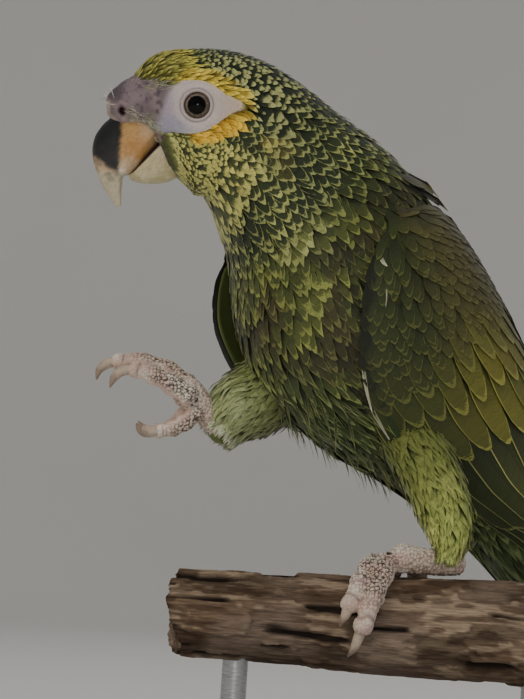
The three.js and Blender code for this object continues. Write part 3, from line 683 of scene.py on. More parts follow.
# Feathers on the form: the lie is tailward, so along turns to stations and across to angle, each by
# the form's own scale at the root, after a small turn. The root is sunk in the coat and the tip is on
# its outline. Behind the rump the feathers settle onto the tail.
def formVanes(grid, s, angle, length, halfWidth, lift, turn, shape=None):
    alongMm, aroundMm = formScale(s, angle)
    cosine, sine = np.cos(turn)[:, None], np.sin(turn)[:, None]

    def place(along, across, height):
        station = s[:, None] + (along * cosine - across * sine) / alongMm[:, None]
        aside = along * sine + across * cosine
        settle = bodyCoat["settle"] * smooth(station, 12.0, 13.2)
        return formPoint(station, angle[:, None] + aside / aroundMm[:, None], height - settle)

    return layVanes(grid, length, halfWidth, lift, place, shape)


wings = {
    "rows": np.array([  # station, angle of the lower edge, angle of the upper edge, thickness
        [6.62, 2, 16, 1.6], [6.75, -8, 34, 3.0], [7.0, -17, 47, 4.0], [7.5, -29, 60, 4.6],
        [8.0, -39, 69, 4.6], [8.6, -49, 76, 4.4], [9.2, -55, 80, 4.2], [9.8, -60, 83, 4.0],
        [10.5, -61, 84, 3.8], [11.2, -56, 84, 3.6], [11.9, -42, 84, 3.4], [12.5, -22, 84, 3.0],
        [13.0, -8, 83, 2.4], [13.4, 8, 80, 1.8], [13.65, 24, 70, 1.2],
    ]),
    "edge": 0.8,
    "rest": 0.64,
    "left": {"drop": 0, "standOff": 0, "ahead": 0},
    "right": {"drop": 38, "standOff": 4.8, "ahead": 0.55},
    "hang": (9.0, 7.3),  # the right wing hangs less and less between these stations
}


# A column of the wing's table at a station.
def wingRow(s, column):
    return np.interp(s, wings["rows"][:, 0], wings["rows"][:, column])


# Point of a folded wing: k runs from its lower edge (0) to its upper edge (1), and height is a share of
# the wing's thickness there, which falls to its edge thickness by the sine of pi k.
def wingPoint(side, s, k, height):
    s, k, height = np.broadcast_arrays(s, k, height)
    hanging = wings[side]
    hang = falling(s, wings["hang"][1], wings["hang"][0])
    low = wingRow(s, 1) - hanging["drop"] * hang
    angle = np.radians(low + (wingRow(s, 2) - low) * k)
    inside = np.clip(k, 0.03, 0.97)
    outer = wings["edge"] + (wingRow(s, 3) - wings["edge"]) * np.sin(np.pi * inside) ** 0.6
    off = wings["rest"] + hanging["standOff"] * hang * np.clip(1 - k, 0, 1.2) ** 2
    angle = angle if side == "left" else np.pi - angle
    return formPoint(s - hanging["ahead"] * hang, angle, off + height * outer)


# Feathers on a wing. Each runs from a root place (station, k) to a tip place; across it, k changes by
# the wing's own width at each station. Its lower edge stands a little over the next feather's.
def wingVanes(side, grid, root, tip, halfWidth, height, bow=0.0, tilt=0.1, shape=None):
    (s0, k0), (s1, k1) = root, tip
    length = np.linalg.norm(wingPoint(side, s1, k1, 1) - wingPoint(side, s0, k0, 1), axis=-1)
    length = np.maximum(length, 3.0)

    def place(along, across, rise):
        u = along / length[:, None]
        s = s0[:, None] + (s1 - s0)[:, None] * u
        k = k0[:, None] + (k1 - k0)[:, None] * u + bow * np.sin(np.pi * np.clip(u, 0, 1))
        above, below = wingPoint(side, s, k + 0.05, 1), wingPoint(side, s, k - 0.05, 1)
        span = np.linalg.norm(above - below, axis=-1) / 0.1
        return wingPoint(side, s, k + across / np.maximum(span, 12.0), rise)

    lift = lambda u, v: height[0] + (height[1] - height[0]) * u**0.8 - tilt * v
    return layVanes(grid, length, halfWidth, lift, place, {"thick": 0.06, "camber": 0.03, **(shape or {})})


thighs = {
    "left": np.array([[-3.0, 15.0, 163.0, 12.0], [4.5, 5.5, 147.0, 11.4], [12.4, -0.6, 132.5, 10.2],
                      [17.6, -3.4, 120.0, 8.7], [19.2, -4.4, 111.0, 6.0], [18.6, -5.0, 106.0, 3.4]]),
    "right": np.array([[-18.0, 22.0, 176.0, 15.0], [-32.5, 16.5, 164.5, 14.6], [-42.0, 13.0, 155.5, 13.0],
                       [-50.0, 10.5, 149.0, 11.2], [-55.0, 9.5, 142.5, 7.2]]),
}
tarsi = {
    "left": np.array([[22.5, 2.0, 105.0, 3.8], [17.0, 1.2, 105.0, 4.1], [10.0, -0.6, 105.2, 4.2],
                      [4.5, -2.2, 105.6, 4.7]]),
    "right": np.array([[-55.0, 8.6, 143.6, 3.9], [-60.5, 6.8, 149.0, 4.4], [-66.0, 5.0, 154.0, 5.2]]),
}
perch = {
    "axisZ": 84.6,
    "x": (-64.5, 70.0),
    "radius": (14.0, 17.2),
    "ragged": 2.4,
    "raggedTurn": 0.6,
}
# Toes of the standing foot wind round the branch: where each starts and ends along it, its angle from
# the branch's top at start and end, its radius at start and end, and its claw's length in degrees.
grippingToes = {
    3: {"x": (0.5, -7.6), "angle": (12, 92), "r": (3.8, 2.9), "claw": 34},
    2: {"x": (-3.5, -11.8), "angle": (2, 72), "r": (3.3, 2.7), "claw": 20},
    4: {"x": (9.5, 15.5), "angle": (-10, -92), "r": (3.3, 2.5), "claw": 34},
    1: {"x": (3.5, 2.0), "angle": (-14, -66), "r": (3.0, 2.4), "claw": 32},
}
raisedToes = {
    3: {
        "path": np.array([[-66.5, 8.0, 157.0, 3.5], [-74.0, 8.0, 161.4, 3.2], [-82.5, 7.0, 163.3, 2.9],
                          [-89.5, 6.0, 162.6, 2.5]]),
        "claw": [[-92.4, 5.8, 161.8], [-94.8, 5.6, 159.6], [-95.6, 5.4, 156.4]],
    },
    2: {
        "path": np.array([[-65.5, 0.8, 152.5, 3.5], [-71.5, -0.2, 156.0, 3.3], [-77.5, -0.8, 158.4, 3.1],
                          [-83.0, -1.0, 159.6, 2.6]]),
        "claw": [[-87.0, -1.0, 158.8], [-89.4, -1.0, 156.4], [-90.4, -0.8, 153.4]],
    },
    4: {
        "path": np.array([[-64.5, 10.0, 150.0, 3.2], [-67.5, 12.6, 146.2, 3.0], [-71.0, 14.2, 143.2, 2.8],
                          [-75.4, 14.8, 141.6, 2.4]]),
        "claw": [[-78.8, 14.8, 141.0], [-81.0, 14.5, 141.8], [-82.4, 14.2, 143.6]],
    },
    1: {
        "path": np.array([[-63.0, 3.4, 147.2, 3.0], [-66.5, 2.4, 143.6, 2.7], [-70.0, 2.0, 141.6, 2.5],
                          [-73.4, 2.0, 140.9, 2.2]]),
        "claw": [[-76.6, 2.0, 140.6], [-79.2, 2.0, 141.5], [-80.8, 2.0, 143.4]],
    },
}
claws = {
    "root": 1.5,  # mm, radius inside the toe's end
    "radii": [1.7, 1.3, 0.3],
    "lift": [2.2, 2.9, 0.9],  # mm off the branch
    "start": 4,  # degrees past the toe's end
    "middle": 0.55,
}


# The branch's radius, changing evenly from its left end to its right end.
def perchRadius(x):
    start, end = perch["x"]
    return between(perch["radius"], (x - start) / (end - start))


# A point off the branch's surface, at an angle in degrees from its top.
def onPerch(x, angle, off):
    reach = perchRadius(x) + off
    angle = np.radians(angle)
    return np.stack([x + 0 * angle, -reach * np.sin(angle), perch["axisZ"] + reach * np.cos(angle)], -1)


# Path of a toe round the branch, in even steps of place, angle and radius.
def grippingPath(toe):
    t = np.linspace(0, 1, 7)
    x, angle, r = (between(toe[key], t) for key in ("x", "angle", "r"))
    return np.concatenate([onPerch(x, angle, r + 0.1), r[:, None]], axis=1)


# Middle line of its claw: on round the branch by the same screw as the toe, rising off it and coming down.
def grippingClaw(toe):
    turn = np.sign(toe["angle"][1])
    drift = (toe["x"][1] - toe["x"][0]) / abs(toe["angle"][1] - toe["angle"][0])
    degrees = np.array([claws["start"], claws["middle"] * toe["claw"], toe["claw"]])
    return onPerch(toe["x"][1] + drift * degrees, toe["angle"][1] + turn * degrees, np.array(claws["lift"]))


# Point of a limb: the path at t plus its radius (plus grow) times the cosine and sine of the angle, on
# two directions square to the path, the first as near to +Y as can be.
def limbPoint(path, t, around, grow):
    t, around, grow = np.broadcast_arrays(np.asarray(t, float), around, grow)
    row = throughRows(path, t)
    tangent = unit(throughRows(path, t + 0.02)[..., :3] - throughRows(path, t - 0.02)[..., :3])
    side = np.array([0.0, 1.0, 0.0])
    side = unit(side - tangent * (tangent @ side)[..., None])
    other = np.cross(tangent, side)
    reach = row[..., 3] + grow
    aside, along = reach * np.cos(around), reach * np.sin(around)
    return row[..., :3] + side * aside[..., None] + other * along[..., None]


# A closed limb: rings along the path, and round ends where the radius falls as the cosine of an angle
# while the ring moves on by its sine.
def limbBody(path, steps, around, swell=None):
    last = len(path) - 1
    angles = circle(around)
    t = np.linspace(0, last, steps)[:, None]
    middle = limbPoint(path, t, angles, swell(t, angles) if swell else 0.0)
    bend = np.radians(np.array([80, 60, 40, 20]))[:, None, None]
    rings = []
    for ring, sign, order in ((0, -1, 1), (-1, 1, -1)):
        centre = middle[ring].mean(0)
        reach = np.linalg.norm(middle[ring] - centre, axis=-1).mean()
        ends = throughRows(path, np.array([0.0, 0.05]) if ring == 0 else np.array([last - 0.05, last]))
        tangent = unit(ends[1, :3] - ends[0, :3])
        cap = centre + (middle[ring] - centre) * np.cos(bend) + sign * tangent * reach * 0.75 * np.sin(bend)
        rings.append(cap[::order])
    return closedBody(np.concatenate([rings[0], middle, rings[1]]))


# Places of roots on the bake map: the form unrolled, stations across and the angle up.
def bakePlace(s, angle):
    return np.stack([0.02 + 0.96 * s / 14, 0.02 + 0.96 * (angle / (2 * np.pi) % 1.0)], -1)


# True where a wing covers the form, some degrees inside the wing's edges.
def underWing(s, angle):
    degrees = np.degrees((angle + np.pi) % (2 * np.pi) - np.pi)
    low, high = wingRow(s, 1), wingRow(s, 2)
    inside = (s > 7.1) & (s < 12.3)
    left = (degrees > low + 14) & (degrees < high - 12)
    mirrored = np.where(degrees > 0, 180 - degrees, -180 - degrees)
    right = (mirrored > low + 10) & (mirrored < high - 12)
    return inside & (left | right)


# Thin loose feathers: each is a narrow vane from a root along a direction, curling by its share of it.
def looseVanes(roots, ways, outward, length, half, codes, curl=0.2):
    ways = unit(ways - outward * np.sum(ways * outward, -1, keepdims=True) * 0.7)
    across = unit(np.cross(outward, ways))

    def place(along, aside, height):
        rise = height + curl * along**2 / length[:, None]
        return (roots[:, None] + ways[:, None] * along[..., None] + across[:, None] * aside[..., None]
                + outward[:, None] * rise[..., None])

    lift = lambda u, v: 0.25 * u + 0 * v
    batch = layVanes(vaneGrid(2, 6), length, half, lift, place, {"thick": 0.05, "camber": 0.02, "tip": 0.3})
    edge = np.ones((len(length), 3)) * [0.3, 0.3, 1.0]
    return finishVanes(batch, flatTints(len(length), codes, 0.12), edge, np.full((len(length), 2), 0.03))


# First and last place (ahead and above), how many, length, half width, colours, and their way ahead and up.
bristles = {
    "lores": ((20.0, -4.2), (9.5, -8.6), 90, 3.4, 0.11, ("#8f8a78", "#b3af98", "#cfccb2"), (-1.0, -0.45)),
    "gape": ((13.0, -9.2), (8.0, -9.6), 40, 3.0, 0.12, ("#8b886c", "#adab82", "#cfcda0"), (-1.0, -0.3)),
    "forehead": ((20.5, 5.0), (8.0, 4.6), 60, 3.0, 0.11, ("#7f7d66", "#a3a180", "#c6c4a2"), (-1.0, 0.35)),
}

cereBristles = {
    "count": 26,
    "sections": (2.6, 4.8),
    "spread": 0.9,  # radians, to both sides of the top
    "middle": (20.0, -2.0),  # ahead and above, the point that they stand away from
    "length": (1.6, 3.4),
    "half": 0.11,
    "tints": ("#c9c4b8", "#dcd8cc", "#f0eee6"),
}


# Bristles on the bare face, rooted on the face's fitted surface, and a few white ones on the cere.
def faceBristles():
    batches = []
    for side in (1, -1):
        ahead, above, outward, _ = eyeAxes(side)
        surface = faceSurface(side)
        for first, last, count, length, half, codes, way in bristles.values():
            t = rng.random(count)
            x, y = (between(pair, t) + rng.normal(0, stray, count) - middle
                    for pair, stray, middle in zip(zip(first, last), (0.6, 1.0), eye["at"]))
            roots = fromEye(side, x, y, surface(x, y) + 0.05)
            ways = ahead * way[0] + above * way[1] + rng.normal(0, 0.22, (count, 3))
            lengths = length * rng.uniform(0.6, 1.2, count)
            batches.append(looseVanes(roots, ways, np.ones((count, 3)) * outward, lengths,
                                      np.full(count, half), codes, 0.1))
    count = cereBristles["count"]
    t = rng.uniform(*cereBristles["sections"], count)
    angle = np.pi / 2 + rng.normal(0, cereBristles["spread"], count)
    roots = profilePoint(cere, t, angle, 0.0)
    ways = headForward + headUp * 0.5 + rng.normal(0, 0.4, (count, 3))
    outward = unit(roots - headPoint(*cereBristles["middle"], 0.0))
    length = rng.uniform(*cereBristles["length"], count)
    half = np.full(count, cereBristles["half"])
    batches.append(looseVanes(roots, ways, outward, length, half, cereBristles["tints"], 0.05))
    return batches


tufts = {
    "count": 110,
    "stations": (7.9, 9.9),
    "angle": (-128, -52),
    "length": (8, 13),
    "half": 0.5,
    "tints": ("#2a3218", "#565f32", "#8c925a"),
}


# Loose shaggy feathers under the belly, between the legs.
def bellyTufts():
    count = tufts["count"]
    s = rng.uniform(*tufts["stations"], count)
    angle = np.radians(rng.uniform(*tufts["angle"], count))
    roots = formPoint(s, angle, -0.3)
    outward = unit(formPoint(s, angle, 1) - roots)
    ways = unit(formPoint(s + 0.1, angle, 0) - roots) + outward * 0.1 + rng.normal(0, 0.22, (count, 3))
    length = rng.uniform(*tufts["length"], count)
    return looseVanes(roots, ways, outward, length, np.full(count, tufts["half"]), tufts["tints"], 0.16)


coatGroups = {  # stations where each piece of the coat starts and ends, its feathers' grid, and its slot
    "coat_face": (0.0, 2.9, (4, 5), "feather_head"),
    "coat_crown": (2.9, 5.0, (5, 6), "feather_head"),
    "coat_breast": (5.0, 8.2, (4, 6), "feather_green"),
    "coat_belly": (8.2, 10.6, (4, 7), "feather_green"),
    "coat_rump": (10.6, 12.6, (5, 7), "feather_green"),
}


# The body's coat: roots in rings, less those in the bare skin, in the cere, in the mouth or under the
# wings. Feathers of the ring round the bare skin and of the forehead are narrower, and the belly's longer.
def buildBodyCoat(material):
    s, angle = bodyRoots(bodyCoat)
    points = formPoint(s, angle, 0)
    ahead, above, _ = headPlace(points)
    e = heightAngle(angle)
    bare = bareDistance(ahead, above)
    onHead = s < 4.5
    keys = ("length", "half", "spacing")
    length, half, spacing = (np.interp(s, bodyCoat["at"], bodyCoat[key]) for key in keys)
    halfWidth = half * spacing
    lower = smooth(s, 6.8, 7.8) * falling(e, -66, -52)
    ring = onHead & (bare < 3.5) & (ahead > -16)
    brow = onHead & (above > 4.5) & (beforeBrow(ahead, above) > -1) & ~ring
    length = length * np.where(ring, 0.85, 1) * np.where(brow, 1.45, 1) * (1 + 0.35 * lower)
    halfWidth = halfWidth * np.where(ring, 0.5, 1) * np.where(brow, 0.48, 1) * (1 - 0.25 * lower)
    length = length * rng.normal(1, 0.09, len(s))
    stations = length / formScale(s, angle)[0]
    bareAt = lambda share: bareDistance(*headPlace(formPoint(s + share * stations, angle, 0))[:2])
    inFace = onHead & ((bare < 0.4) | (bareAt(0.45) < 0) | (bareAt(0.85) < -0.5)) & (ahead > -16)
    edgeAhead, edgeAbove, edgeSlope = head["cheek"]
    inMouth = (above < -8) & (ahead > edgeAhead + edgeSlope * (above - edgeAbove)) & (s < 1.3)
    inCere = (ahead > 10.5) & (above < 5) & (above > -14)
    inCere = inCere | (onHead & (bare < 1.6) & (ahead > 3) & (above < 0))
    keep = ~(inFace | inCere | inMouth | underWing(s, angle))
    s, angle, points, length, halfWidth, lower, fine = (
        x[keep] for x in (s, angle, points, length, halfWidth, lower, (ring | brow).astype(float)))
    sink = coatDepth(s) * 0.95
    flat = 2.2 - 0.5 * lower
    tipLift = rng.normal(0.1, 0.14, len(s)) * np.clip(coatDepth(s), 1, 2.5) * (1 + 0.8 * lower)
    tipLift = tipLift * (1 - 0.5 * fine)
    turn = np.radians(bodyCoat["turn"]) * rng.normal(0, 1, len(s)) * (1 + 1.2 * lower + 0.8 * fine)
    tints = plumage(s, angle, points)
    for name, (start, end, faces, slotName) in coatGroups.items():
        pick = (s >= start) & (s < end)
        deep, high, bent = (x[pick][:, None] for x in (sink, tipLift, flat))
        lift = lambda u, v: -deep * (1 - u) ** bent + high * u**2
        shape = {"ragged": 0.13, "round": 0.3} if start > 4.5 else None
        batch = formVanes(vaneGrid(*faces), s[pick], angle[pick], length[pick], halfWidth[pick], lift,
                          turn[pick], shape)
        count = int(pick.sum())
        vary = 1 + rng.normal(0, 0.1, (count, 1)) * (1 + 0.7 * fine[pick][:, None])
        edge = np.stack([tints[3][pick] * rng.uniform(0.7, 1.3, count), tints[4][pick], np.ones(count)], -1)
        colours = [tints[k][pick] * vary for k in range(3)]
        batches = [finishVanes(batch, colours, edge, bakePlace(s[pick], angle[pick]))]
        if name == "coat_face":
            batches += faceBristles()
        if name == "coat_belly":
            batches.append(bellyTufts())
        makeCoat(name, batches, material)


# The same three colours for many feathers, each a little lighter or darker than the next.
def flatTints(count, codes, vary=0.1):
    light = rng.normal(1, vary, (count, 1))
    return [np.ones((count, 3)) * linear(code) * light for code in codes]


# Rows of a wing. Roots and tips are (station, k) at the row's lower and upper end; heights are shares
# of the wing's thickness at root and tip, and the fringe is the width of the pale tip and pale edge.
wingFeathers = {
    "primaries": {"count": 9, "root": ((8.7, 0.0), (9.5, 0.16)), "tip": ((13.6, 0.3), (12.3, 0.95)),
                  "half": (4.6, 5.6), "height": (0.25, 0.92), "bow": -0.05, "grid": (6, 22),
                  "fringe": (0.02, 0.1), "tints": ("#1f2611", "#36401b", "#b5b37c")},
    "secondaries": {"count": 10, "root": ((8.9, 0.06), (8.9, 0.9)), "tip": ((11.35, 0.12), (12.5, 0.97)),
                    "half": (6.2, 6.2), "height": (0.3, 0.95), "bow": -0.02, "grid": (6, 18),
                    "fringe": (0.03, 0.09), "tints": ("#2c3316", "#4a5022", "#b3b26a")},
    "greaterCoverts": {"count": 12, "root": ((8.35, 0.03), (8.5, 0.93)), "tip": ((9.75, 0.03), (10.5, 0.93)),
                       "half": (4.6, 4.8), "height": (0.5, 0.97), "bow": -0.01, "grid": (6, 10),
                       "fringe": (0.05, 0.1), "tints": ("#3a3f19", "#666627", "#a9a851")},
    "medianCovertsRear": {"count": 13, "root": ((8.0, 0.04), (8.1, 0.94)), "tip": ((9.1, 0.04), (9.75, 0.94)),
                          "half": (4.4, 4.6), "height": (0.64, 0.99), "bow": 0.0, "grid": (6, 8),
                          "fringe": (0.08, 0.08), "tints": ("#3c3f1b", "#686728", "#8f8d40")},
    "medianCoverts": {"count": 13, "root": ((7.7, 0.04), (7.7, 0.95)), "tip": ((8.75, 0.04), (9.2, 0.95)),
                      "half": (4.2, 4.3), "height": (0.72, 1.0), "bow": 0.0, "grid": (6, 8),
                      "fringe": (0.08, 0.06), "tints": ("#3d3e1d", "#5f5f29", "#78773a")},
}
smallCoverts = {
    "from": 6.42,
    "to": 8.35,
    "pitch": 0.11,  # stations between rows
    "spacing": 3.1,  # mm between neighbours
    "length": 9.0,
    "half": 2.5,
    "fringe": (0.12, 0.0),
    "tints": ("#3b3b1e", "#4e4c27", "#5f5b30"),
}
wingBend = {  # narrow white-edged feathers along the wing's lower front edge: root and tip (station, k)
    "places": [((7.7, 0.004), (8.6, -0.008)), ((8.25, 0.0), (9.1, -0.01)), ((6.86, 0.06), (7.06, 0.12)),
               ((7.12, 0.125), (7.5, 0.105)), ((8.3, 0.03), (9.35, 0.025))],
    "half": [0.6, 0.55, 0.6, 0.3, 1.2],
    "tints": ["white", "grey", "white", "grey", "green"],
    "codes": {"white": ("#6f7052", "#b5b496", "#dedcc6"), "grey": ("#6f7052", "#a9a98a", "#cccab0"),
              "green": ("#26331a", "#30401f", "#8d9658")},
}


# A wing place's angle on the form, as if the wing did not hang, for the bake map.
def wingAngle(side, s, k):
    angle = np.radians(wingRow(s, 1) + (wingRow(s, 2) - wingRow(s, 1)) * k)
    return angle if side == "left" else np.pi - angle


# Warm and light patches of a wing: brownish high in front, yellow-green in the middle, dark green along
# the lower edge, one rusty spot, and a painted shadow, nearly black, on the front of the lower edge.
def wingTints(s, k, codes):
    tints = flatTints(len(s), codes, 0.07)
    inner = smooth(k, 0.2, 0.42)
    brown = falling(s, 7.4, 8.8) * smooth(k, 0.4, 0.75)
    golden = np.exp(-((s - 9.0) / 0.7) ** 2 - ((k - 0.45) / 0.2) ** 2)
    # painted shadow: the front of the lower edge, where the wing comes out from under the breast, darkened
    # nearly black
    edge = falling(k, 0.015, 0.05) * (s < 8.6)
    rows = (("#1b2610", 0.7, "#3a3820", "#4a4619"), ("#2b3716", 0.8, "#544e2b", "#7a7427"),
            ("#556029", 0.6, "#625a34", "#a8a24a"))
    shades = [layered(tint, (lowCode, share * (1 - inner)), (brownCode, 0.7 * brown),
                      (goldCode, 0.6 * golden), ("#151b0e", 0.85 * edge))
              for tint, (lowCode, share, brownCode, goldCode) in zip(tints, rows)]
    rust = np.exp(-((s - 8.6) / 0.13) ** 2 - ((k - 0.52) / 0.04) ** 2)
    shades[1] = painted(shades[1], "#66492a", 0.6 * rust)
    return shades


# A wing's coat: the rows of the table, small coverts in rows over the front, and the edge of its bend.
def buildWingCoat(side, smallMaterial, flightMaterial):
    batches = {"flight": [], "coverts": []}
    for name, row in wingFeathers.items():
        t = np.linspace(0, 1, row["count"])
        (rootLow, rootHigh), (tipLow, tipHigh) = row["root"], row["tip"]
        root = [between(pair, t) for pair in zip(rootLow, rootHigh)]
        tip = [between(pair, t) for pair in zip(tipLow, tipHigh)]
        tip[0] = tip[0] + rng.normal(0, 0.03, row["count"])
        half = between(row["half"], t)
        blunt = name.startswith(("median", "greater"))
        ends = {"tip": 0.78, "round": 0.2} if blunt else {"tip": 0.55, "round": 0.09}
        batch = wingVanes(side, vaneGrid(*row["grid"]), root, tip, half, row["height"], row["bow"],
                          shape={**ends, "root": 0.6, "ragged": 0.014})
        tints = wingTints(0.5 * (root[0] + tip[0]), 0.5 * (root[1] + tip[1]), row["tints"])
        edge = np.ones((row["count"], 3)) * [*row["fringe"], 0.0]
        finished = finishVanes(batch, tints, edge, bakePlace(root[0], wingAngle(side, root[0], root[1])))
        batches["flight" if name in ("primaries", "secondaries") else "coverts"].append(finished)

    stations, ks = [], []
    for i, s in enumerate(np.arange(smallCoverts["from"], smallCoverts["to"], smallCoverts["pitch"])):
        span = np.linalg.norm(wingPoint(side, s, 1.0, 1) - wingPoint(side, s, 0.5, 1))
        span += np.linalg.norm(wingPoint(side, s, 0.5, 1) - wingPoint(side, s, 0.0, 1))
        count = max(2, int(span / smallCoverts["spacing"]))
        k = (np.arange(count) + 0.3 + 0.4 * (i % 2)) / count
        stations.append(s + rng.normal(0, 0.02, count))
        ks.append(np.clip(k + rng.normal(0, 0.12 / count, count), 0.015, 0.985))
    s, k = np.concatenate(stations), np.concatenate(ks)
    tip = (s + smallCoverts["length"] / 25 * rng.normal(1, 0.1, len(s)), k + rng.normal(0, 0.006, len(s)))
    half = smallCoverts["half"] * np.ones(len(s))
    batch = wingVanes(side, vaneGrid(4, 5), (s, k), tip, half, (0.8, 1.02), tilt=0.03)
    edge = np.ones((len(s), 3)) * [*smallCoverts["fringe"], 1.0]
    batches["coverts"].append(finishVanes(batch, wingTints(s, k, smallCoverts["tints"]), edge,
                                          bakePlace(s, wingAngle(side, s, k))))

    root, tip = (np.array([place[end] for place in wingBend["places"]]).T for end in (0, 1))
    batch = wingVanes(side, vaneGrid(4, 12), root, tip, np.array(wingBend["half"]), (0.7, 1.15), tilt=0.0)
    tints = [np.array([linear(wingBend["codes"][name][i]) for name in wingBend["tints"]]) for i in range(3)]
    edge = np.ones((len(root[0]), 3)) * [0.1, 0.3, 0.0]
    batches["coverts"].append(finishVanes(batch, tints, edge, bakePlace(root[0], wingAngle(side, *root))))
    makeCoat(f"wing_{side}_flight_feathers", batches["flight"], flightMaterial,
             (f"wing_{side}_secondaries", f"wing_{side}_primaries"))
    makeCoat(f"wing_{side}_covert_feathers", batches["coverts"], smallMaterial,
             (f"wing_{side}_coverts",))


scapulars = {
    "stations": (6.1, 8.5),
    "low": 48,  # degrees, where a row starts and ends
    "high": 78,
    "rows": 9,
    "length": 15.0,
    "half": 4.0,
    "over": 3.6,  # mm, how high the tips stand over the form
}


# Shoulder feathers, rooted on the back and lying over the upper edge of each wing.
def buildScapulars(material):
    t = np.linspace(0, 1, scapulars["rows"])
    s, angle = [], []
    for i, station in enumerate(between(scapulars["stations"], t)):
        low = scapulars["low"] + 10 * t[i]
        degrees = np.arange(low + 3 * (i % 2), scapulars["high"], 7.5)
        s.append(np.full(len(degrees), station))
        angle.append(np.radians(degrees + rng.normal(0, 1, len(degrees))))
    s, angle = np.concatenate(s), np.concatenate(angle)
    s, angle = np.concatenate([s, s]), np.concatenate([angle, np.pi - angle])
    length = scapulars["length"] * rng.normal(1, 0.1, len(s))
    half = scapulars["half"] * np.ones(len(s))
    lift = lambda u, v: -2.0 * (1 - u) ** 1.5 + scapulars["over"] * u**0.8
    outward = np.where(np.cos(angle) > 0, -1, 1) * np.radians(10)
    batch = formVanes(vaneGrid(6, 8), s, angle, length, half, lift, outward + rng.normal(0, 0.08, len(s)),
                      {"tip": 0.6, "ragged": 0.03})
    tints = flatTints(len(s), ("#34351c", "#4b4a27", "#57542d"), 0.08)
    edge = np.ones((len(s), 3)) * [0.1, 0.0, 1.0]
    finished = finishVanes(batch, tints, edge, bakePlace(s, angle))
    makeCoat("scapular_feathers", [finished], material)


tail = {
    "feathers": 12,
    "from": 11.7,
    "to": 14.0,
    "round": 0.12,  # stations that the outermost feathers fall short by, growing with the square
    "reach": (6.5, 8.9),  # mm from the middle to the outermost feather's shaft, at root and tip
    "half": 6.3,
    "sink": 0.5,
    "arch": 1.6,
    "archReach": 15.2,
    "stack": 1.45,  # mm, the middle pair above the middle of the tail's thickness
}


# Tail feathers side by side on a low arch, the middle pair on top: a point is the form's centre plus
# left times its distance from the middle, less sink and arch times that distance squared.
def buildTail(material):
    q = np.linspace(-1, 1, tail["feathers"])
    start = tail["from"]
    end = tail["to"] - tail["round"] * q**2 - 0.02 * rng.random(len(q))
    length = np.linalg.norm(formFrame(end)[0] - formFrame(np.full(len(q), start))[0], axis=-1)
    stack = tail["stack"] * (1 - 2 * np.abs(q))

    def place(along, across, height):
        u = along / length[:, None]
        s = start + (end - start)[:, None] * u
        x = q[:, None] * between(tail["reach"], u) + across
        centre, left, dorsal = formFrame(s)[:3]
        off = height * (1 - 0.35 * u) - tail["sink"] - tail["arch"] * (x / tail["archReach"]) ** 2
        return centre + left * x[..., None] + dorsal * off[..., None]

    lift = lambda u, v: stack[:, None] + 0.1 * np.sign(q)[:, None] * v - 0.15 * v**2
    half = tail["half"] * np.ones(len(q))
    batch = layVanes(vaneGrid(8, 26), length, half, lift, place,
                     {"thick": 0.35, "camber": 0.1, "round": 0.07, "tip": 0.55, "ragged": 0.006})
    tints = flatTints(len(q), ("#2c3a18", "#3f5120", "#8f9a45"), 0.06)
    edge = np.ones((len(q), 3)) * [0.16, 0.08, 1.0]
    finished = finishVanes(batch, tints, edge, bakePlace(np.full(len(q), 12.8), np.radians(90 - 60 * q)))
    makeCoat("tail_feathers", [finished], material, ("tail",))


thighCoat = {
    "from": 0.02,
    "spacing": (2.4, 1.7),  # mm, at the top and at the ankle
    "length": (15.0, 9.0),
    "half": 0.5,  # of the spacing
    "pitch": 0.66,
    "sink": 2.0,
    "turn": 13,
}


# Millimetres along a limb's path for one row of its table, at given places.
def pathScale(path, t):
    ahead, behind = throughRows(path, t + 0.05)[:, :3], throughRows(path, t - 0.05)[:, :3]
    return np.linalg.norm(ahead - behind, axis=1) / 0.1


# Feathers of the trousers, in rings down the thigh: the lie runs to the ankle, and they are looser
# and downier than the body's.
def thighVanes(side):
    path = thighs[side]
    last = len(path) - 1
    ts, angles, t, row = [], [], thighCoat["from"], 0
    while t < last - 0.12:
        here = np.array([t])
        rowRadius = throughRows(path, here)[0, 3]
        spacing = np.interp(t, [0, last], thighCoat["spacing"])
        count = int(2 * np.pi * rowRadius / spacing)
        around = (np.arange(count) + 0.5 * (row % 2)) * 2 * np.pi / count
        ts.append(np.full(count, t) + rng.normal(0, 0.02, count))
        angles.append(around + rng.normal(0, 0.08, count))
        t += thighCoat["pitch"] * spacing / pathScale(path, here)[0]
        row += 1
    t, around = np.concatenate(ts), np.concatenate(angles)
    radius = throughRows(path, t)[:, 3]
    stepMm = pathScale(path, t)
    length = np.interp(t, [0, last], thighCoat["length"]) * rng.normal(1, 0.14, len(t))
    length = np.minimum(length, np.maximum((last + 0.35 - t) * stepMm, 3.0))
    half = thighCoat["half"] * np.interp(t, [0, last], thighCoat["spacing"])
    turn = np.radians(thighCoat["turn"]) * rng.normal(0, 1, len(t))
    cosine, sine = np.cos(turn)[:, None], np.sin(turn)[:, None]
    curl = rng.normal(0.1, 0.4, len(t))[:, None]
    deep = np.minimum(thighCoat["sink"], 0.5 * radius)[:, None]
    ends = throughRows(path, np.array([last - 0.02, last]))[:, :3]
    beyond = unit(ends[1] - ends[0])

    def place(along, across, height):
        ahead = along * cosine - across * sine
        aside = along * sine + across * cosine
        station = t[:, None] + ahead / stepMm[:, None]
        kept, over = np.clip(station, 0, last), np.maximum(station - last, 0)
        local = np.maximum(throughRows(path, kept)[..., 3], 2.0)
        points = limbPoint(path, kept, around[:, None] + aside / np.maximum(radius, 3)[:, None],
                           height - 0.35 * over * local)
        return points + beyond * (over * stepMm[:, None])[..., None]

    lift = lambda u, v: -deep * (1 - u) ** 1.4 + curl * u**2
    shape = {"tip": 0.25, "ragged": 0.14, "round": 0.1, "thick": 0.06, "camber": 0.1}
    return t / last, around, layVanes(vaneGrid(2, 6), length, half, lift, place, shape)


